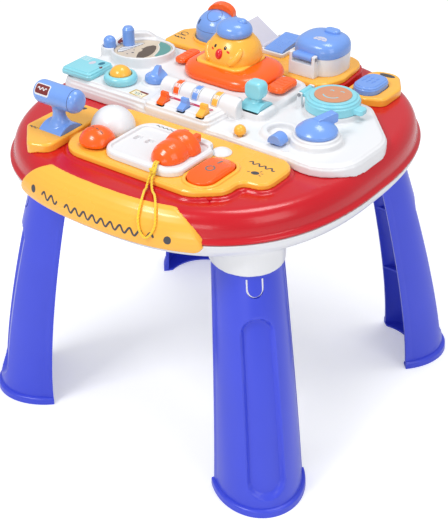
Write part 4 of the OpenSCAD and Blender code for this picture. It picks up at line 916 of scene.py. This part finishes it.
for i in range(7):
    y = 33.5 + 6.0 * i
    x0, x1 = -189.2 + abs(i - 3) ** 2 * 0.75, -177.6 + 0.2 * i
    on_disc(f"disc_stripe_{i}", stroke([(x0, y - 1.5), (x1, y + 1.5)], 1.0), INK_NAVY, 0.22)
for i, (x, y, r) in enumerate(((-164.6, 56.5, 1.3), (-165.4, 38.6, 1.5), (-168.2, 31.5, 1.0),
                               (-170.5, 47.5, 0.9))):
    on_disc(f"disc_dot_{i}", disc_points(x, y, r, r, count=20), INK_DARK)

# Console stickers
top = tree_of("console_panel_skin")
for name, outline, look, lift in (
        ("label_frame", box_points(-99.5, -31.2, 21, 13, 1.5, -4), INK_GOLD, 0.10),
        ("label_paper", box_points(-99.0, -31.6, 17.6, 9.4, 0.8, -4), INK_CREAM, 0.16),
        ("label_title", box_points(-95.0, -26.6, 12, 3.4, 0.6, -4), INK_MAROON, 0.22),
        ("label_line_0", wave(-105, -94, -31.2, 1.4, 4, 0.9, -4), INK_TEAL, 0.22),
        ("label_line_1", wave(-104, -96, -34.0, 1.2, 4, 0.8, -4), INK_SAGE, 0.22),
        ("key_strip", box_points(-32, -24.2, 68, 4.6, 2.2), INK_PINK, 0.12)):
    mark(name, outline, top, look, lift=lift)
for i, x in enumerate((-58, -42, -30, -16, -4)):
    mark(f"key_strip_dash_{i}", stroke([(x, -24.2), (x + 4.5, -24.2)], 0.9), top, INK_WHITE, lift=0.18)
outline = turned([(x * 1.5 - 200.5, y * 1.6 + 61) for x, y in leaf], 62, -200.5, 61)
mark("deck_leaf", outline, top, INK_MAROON, lift=0.15)
mark("deck_leaf_spot", disc_points(-199.0, 64, 1.5, 2.4, 20), top, INK_CREAM, lift=0.22)
mark("deck_crescent", arc(110.5, -39.8, 4.6, 3.4, 185, 345, 1.5), top, WHITE, lift=0.5, cell=1.0)

# Pan inlay, cooker lid and side keys
pad = tree_of("pan_inlay")
mark("inlay_arc", arc(101.5, 69, 10.5, 10.0, 205, 325, 1.5, tilt=12), pad, AQUA, "pan", cell=1.5)
for i, (x, y) in enumerate(((96.2, 76.5), (108.0, 79.5))):
    mark(f"inlay_dash_{i}", arc(x, y, 2.2, 2.0, 30, 160, 1.2), pad, AQUA, "pan", cell=1.5)
pad = tree_of("cooker_lid_skin")
cloud = [(24, 149), (25, 153.5), (29, 156.6), (33.5, 157.6), (38, 156.0), (41, 152.6), (41.4, 149),
         (38, 148.2), (35, 149.2), (32, 147.8), (29, 149.0), (26.4, 147.9)]
mark("lid_cloud", cloud, pad, GREY, "cooker", lift=0.35, cell=1.2)
mark("lid_cloud_line", wave(26.5, 39, 151.4, 1.4, 5, 0.7), pad, SKY, "cooker", lift=0.45, cell=1.0)
pad = tree_of("side_key_right_skin")
for i in range(3):
    mark(f"side_key_wave_{i}", wave(25.5 + 0.5 * i, 39, 64 + 6.5 * i, 1.4, 6, 0.9), pad, ORANGE, "key_right",
         lift=0.3, cell=1.0)
pad = tree_of("side_key_left_skin")
for i in range(3):
    mark(f"side_key_dash_{i}", wave(-113, -103, 66 + 6.5 * i, 1.4, 6, 0.9), pad, ORANGE, "key_left",
         lift=0.3, cell=1.0)

# Grain dots of the ramp key
ramp = tree_of("ramp_key_skin")
verts, faces = [], []
for j in range(13):
    for i in range(7):
        if abs(i - 3) < 1.6 and 5 < j < 9:
            continue
        x, y = -48.6 + 3.2 * i, 163.5 + 3.2 * j
        hit, normal, _, _ = ramp.ray_cast(at(x, y, 420), Vector((0, 0, -1)))
        if hit is None or normal.z < 0.8:
            continue
        u = normal.orthogonal().normalized()
        v = normal.cross(u)
        base = len(verts)
        for r, h in ((0.95, -0.1), (0.8, 0.25), (0.35, 0.42)):
            verts += [hit + (u * math.cos(w) + v * math.sin(w)) * r * MM + normal * h * MM for w in circle(8)]
        for q in (0, 8):
            faces += [(base + q + k, base + q + (k + 1) % 8, base + q + 8 + (k + 1) % 8, base + q + 8 + k)
                      for k in range(8)]
        faces.append(tuple(base + 16 + k for k in range(8)))
new_object("ramp_key_dots", (verts, faces), SKY, "ramp")

# Number wheels: coloured panels and white cells around a white wheel
WHEEL_R, ROLLER_Y = 12.4, -3


def on_wheel(x, r, angle):
    """A point at radius r and angle about the wheels' common axis."""
    return at(x, ROLLER_Y + r * math.cos(angle), MIXER_Z + r * math.sin(angle))


for number, (x, look) in enumerate(((-58, ORANGE), (-31, SKY), (-3, YELLOW)), 1):
    rim = [[on_wheel(x + dx, r, w) for w in circle(96)]
           for dx, r in ((-4.5, 2.2), (-4.5, WHEEL_R - 0.5), (-4.1, WHEEL_R), (4.1, WHEEL_R),
                         (4.5, WHEEL_R - 0.5), (4.5, 2.2))]
    new_object(f"number_wheel_{number}_skin", skin(rim + [rim[0]], closed=False), WHITE, f"wheel_{number}",
               f"number_wheel_{number}")
    for k in range(6):
        mid = math.radians(96 + 60 * k)
        for part, a0, a1, r, half, paint in (("panel", -18, 18, WHEEL_R + 0.10, 3.6, look),
                                             ("frame", 20.5, 39.5, WHEEL_R + 0.10, 3.4, look),
                                             ("cell", 22, 38, WHEEL_R + 0.16, 2.9, INK_WHITE)):
            outer, inner = ([(radius, mid + math.radians(a0 + (a1 - a0) * i / 8)) for i in range(9)]
                            for radius in (r, WHEEL_R - 0.4))
            patch = ring_skin([[on_wheel(x + side * half, *q) for q in outer + inner[::-1]]
                               for side in (-1, 1)])
            new_object(f"wheel_{number}_{part}_{k}", patch, paint, f"wheel_{number}")
        w = mid + math.radians(30)
        c = on_wheel(x, WHEEL_R + 0.16, w)
        u, v = Vector((1, 0, 0)), Vector((0, -math.sin(w), math.cos(w)))
        ring = [c + (u * math.cos(t) * 0.95 + v * math.sin(t) * 1.25) * MM for t in circle(24)]
        new_object(f"wheel_{number}_ring_{k}", hoop(ring, 0.30 * MM, 8), look, f"wheel_{number}")

# Face and wings of the figure
body = tree_of("figure_body_skin")


def facing(x, y, z, away):
    """Plane beside the figure at a point, and the direction back to its surface."""
    n = Vector(away).normalized()
    u = Vector((0, 0, 1)).cross(n).normalized()
    v = n.cross(u)
    return (at(x, y, z) + n * 30 * MM, u, v), tuple(-n)


def on_body(name, x, y, z, outline, look, away, target=body, rider="figure"):
    plane, toward = facing(x, y, z, away)
    mark(name, outline, target, look, rider, toward=toward, origin=plane, lift=0.15, cell=1.2)


def bead(name, x, y, z, r, look, away, deep=0.5):
    """Rounded boss of half sizes r that stands on the surface."""
    plane, toward = facing(x, y, z, away)
    hit, normal, _, _ = body.ray_cast(plane[0], Vector(toward))
    centre = hit - normal * r[2] * deep * MM
    u = Vector((0, 0, 1)).cross(normal).normalized()
    v = normal.cross(u)
    rings = []
    for j in range(1, 16):
        t = math.pi * j / 16
        rings.append([centre + (u * r[0] * math.sin(t) * math.cos(a) + v * r[1] * math.sin(t) * math.sin(a)
                                + normal * r[2] * math.cos(t)) * MM for a in circle(28)])
    new_object(name, skin(rings), look, "figure")


SIDE = (0.12, -1.0, 0.1)
bead("figure_eye_left", -52.6, 56.0, 422.3, (2.0, 2.5, 0.8), EYE, SIDE)
bead("figure_eye_right", -38.3, 55.8, 422.5, (2.1, 2.6, 0.8), EYE, SIDE)
bead("figure_beak", -44.6, 51.7, 415.2, (4.7, 6.2, 4.2), BEAK, SIDE, deep=0.1)
on_body("figure_cheek_left", -55.6, 54.8, 418.9, disc_points(0, 0, 2.0, 1.0, -30, 20), BEAK, SIDE)
on_body("figure_cheek_right", -33.6, 54.7, 418.9, disc_points(0, 0, 2.2, 1.1, -25, 20), BEAK, SIDE)


def wing(name, points, width, rise):
    """Raised arm: a fat ridge laid over the body along points (x, z) seen from the front."""
    line = []
    for x, z in spread(points, 8):
        hit, normal, _, _ = body.ray_cast(at(x, 20, z), Vector((0, 1, 0)))
        if hit is not None:
            line.append((hit, normal))
    rings = []
    n = len(line)
    for i, (hit, normal) in enumerate(line):
        a, b = line[max(i - 1, 0)][0], line[min(i + 1, n - 1)][0]
        d = (b - a).normalized()
        s = d.cross(normal).normalized()
        k = math.sqrt(max(0.02, 1 - abs(2 * i / (n - 1) - 1) ** 3))
        rings.append([hit + (s * math.cos(t) * width * k + normal * (math.sin(t) * rise * k - 0.6)) * MM
                      for t in circle(24)])
    new_object(name, skin(rings), YELLOW, "figure")


wing("figure_wing_right", [(-22.5, 423), (-21.5, 418), (-23.5, 412), (-28, 407), (-32.5, 404.6)], 4.2, 3.0)
wing("figure_wing_left", [(-67, 423), (-68, 417), (-66.5, 411), (-62.5, 407), (-58, 404.8)], 4.2, 3.0)

# Kettle: dark oval, a round contour line and a faint lower one
shell = tree_of("kettle_body_skin")


def kettle_line(name, centre, away, rx, ry, thick, a0=0, a1=360):
    """A thin dark line on the kettle's shell, a full oval or a part of one."""
    (origin, u, v), toward = facing(*centre, away)
    whole = a1 - a0 == 360
    line = []
    for i in range(64 if whole else 65):
        c, s = cos_sin(a0 + (a1 - a0) * i / 64)
        hit, _, _, _ = shell.ray_cast(origin + (u * rx * c + v * ry * s) * MM, Vector(toward))
        if hit is not None:
            line.append(hit)
    new_object(name, (hoop if whole else rod)(line, thick * MM, 8), SEAM, "kettle")


on_body("kettle_oval", -142.2, 143.4, 402.6, disc_points(0, 0, 2.0, 3.6, 0), INK_NAVY, (-0.75, -0.9, 0.25),
        shell, "kettle")
kettle_line("kettle_contour", (-123.5, 150.5, 413), (0.25, -0.9, 0.75), 9.5, 9.5, 0.32)
kettle_line("kettle_crease", (-126, 140, 398), (0.0, -1.0, 0.15), 24, 4.0, 0.25, 200, 300)

# Toggle: ring line near its end and a plaque
barrel = tree_of("toggle_lever_skin")
ring = [at(TX + 24.5, TY + 13.45 * math.cos(t), TZ + 13.45 * math.sin(t)) for t in circle(72)]
new_object("toggle_ring", hoop(ring, 0.35 * MM, 8), SEAM, "toggle")
plaque = (at(TX - 13, TY - 6, TZ) + Vector((0, -20, 40)) * MM, Vector((1, 0, 0)), Vector((0, 0.894, 0.447)))
down = (0, 0.447, -0.894)
mark("toggle_plaque_edge", box_points(0, 0, 21, 12, 2.4), barrel, INK_WHITE, "toggle", down, plaque, 0.12, 1.2)
mark("toggle_plaque", box_points(0, 0, 18.6, 9.6, 1.6), barrel, INK_MAROON, "toggle", down, plaque, 0.2, 1.2)
mark("toggle_plaque_wave", wave(-6, 6, 0, 2.4, 5, 1.0), barrel, INK_WHITE, "toggle", down, plaque, 0.28, 1.2)

# ---------------------------------------------------------------- cord

CORD_PATH = [(21.4, -150.8, 381.2), (22.4, -153.6, 382.3), (23.8, -157.4, 382.6), (25.4, -161.8, 380.2),
             (26.2, -165.2, 374.9), (26.9, -170.3, 373.2), (27.5, -174.8, 366.9), (29, -179, 363.6),
             (31.5, -184.4, 364.9), (38.3, -196.8, 364.1), (42.4, -206.2, 358.6), (43.9, -210.6, 352.8),
             (45.9, -214, 347.1), (49.7, -216.8, 339.6), (53.4, -217.5, 335.2), (57.4, -217.2, 333),
             (61.5, -215.4, 336.3), (63.9, -212.6, 341.5), (64.4, -209.3, 347.7), (61.2, -204.2, 356.5),
             (55, -195.9, 363.6), (46.5, -186.4, 365.2), (38, -179, 363.6), (33.5, -174.8, 366.9),
             (30.7, -170.3, 373.2), (29.6, -165.2, 374.9), (28.8, -161.8, 380.2), (26.8, -157.4, 382.6),
             (25.2, -153.6, 382.3), (24.2, -150.8, 381.2)]


ROPE = plastic("cord_fibre", (0.97, 0.80, 0.13), rough=0.7, coat=0.0, grain=0.0002, drift=0.12)
node_with(ROPE.node_tree.nodes["Principled BSDF"], Sheen_Weight=0.4)
line = [at(*p) for p in spread(CORD_PATH, 12)]
strands = skin(tube(line, 1.45 * MM, 24, twist=-620, lobes=3, depth=0.34))
cord = new_object("plug_cord_rope", strands, ROPE, "plug", "plug_cord")
loop = []
for w in circle(96):
    x, y, z = (math.sin(w) + 2 * math.sin(2 * w), math.cos(w) - 2 * math.cos(2 * w), -math.sin(3 * w))
    loop.append(at(27.0 + x * 1.15, -164.6 + z * 1.9, 377.6 + y * 1.15))
knot = new_object("cord_knot", hoop(loop, 1.4 * MM, 18), ROPE, "plug")

# ---------------------------------------------------------------- stage and light

scene.view_settings.view_transform = "Standard"
world = bpy.data.worlds.new("studio")
scene.world = world
world.use_nodes = True
wt = world.node_tree
sky_light = node_with(wt.nodes["Background"], Color=(0.93, 0.95, 1.0, 1), Strength=0.55)
white = node_with(wt.nodes.new("ShaderNodeBackground"), Color=(1, 1, 1, 1), Strength=1.0)
path = wt.nodes.new("ShaderNodeLightPath")
mix = wt.nodes.new("ShaderNodeMixShader")
link(wt, path.outputs["Is Camera Ray"], mix.inputs["Fac"])
link(wt, sky_light.outputs["Background"], mix.inputs[1])
link(wt, white.outputs["Background"], mix.inputs[2])
link(wt, mix.outputs["Shader"], wt.nodes["World Output"].inputs["Surface"])

floor_mesh = bpy.data.meshes.new("floor")
floor_mesh.from_pydata([(-6, -6, 0), (6, -6, 0), (6, 6, 0), (-6, 6, 0)], [], [(0, 1, 2, 3)])
floor = bpy.data.objects.new("floor", floor_mesh)
scene.collection.objects.link(floor)
floor_look = bpy.data.materials.new("floor_white")
floor_look.use_nodes = True
ft = floor_look.node_tree
paint = node_with(ft.nodes["Principled BSDF"], Base_Color=(0.90, 0.90, 0.90, 1), Roughness=0.9,
                  Specular_IOR_Level=0.1)
glow = node_with(ft.nodes.new("ShaderNodeEmission"), Color=(1, 1, 1, 1), Strength=0.30)
ray = ft.nodes.new("ShaderNodeLightPath")
none = node_with(ft.nodes.new("ShaderNodeEmission"), Strength=0.0)
pick = ft.nodes.new("ShaderNodeMixShader")
both = ft.nodes.new("ShaderNodeAddShader")
link(ft, ray.outputs["Is Camera Ray"], pick.inputs["Fac"])
link(ft, none.outputs["Emission"], pick.inputs[1])
link(ft, glow.outputs["Emission"], pick.inputs[2])
link(ft, paint.outputs["BSDF"], both.inputs[0])
link(ft, pick.outputs["Shader"], both.inputs[1])
link(ft, both.outputs["Shader"], ft.nodes["Material Output"].inputs["Surface"])
floor_mesh.materials.append(floor_look)


def area(name, where, size, power, aim=(0.0, 0.0, 0.3)):
    data = bpy.data.lights.new(name, "AREA")
    data.shape, data.size, data.size_y = "RECTANGLE", size[0], size[1]
    data.energy = power
    lamp = bpy.data.objects.new(name, data)
    scene.collection.objects.link(lamp)
    lamp.location = Vector(where)
    lamp.rotation_euler = (Vector(where) - Vector(aim)).to_track_quat("Z", "Y").to_euler()


area("key", (-0.5, -1.7, 2.5), (1.0, 0.7), 34)
area("fill", (2.4, -0.6, 1.6), (1.2, 1.6), 13)
area("top", (0.2, 0.6, 2.6), (1.0, 0.8), 20)
area("front_low", (0.9, -2.6, 0.7), (1.2, 0.6), 8)
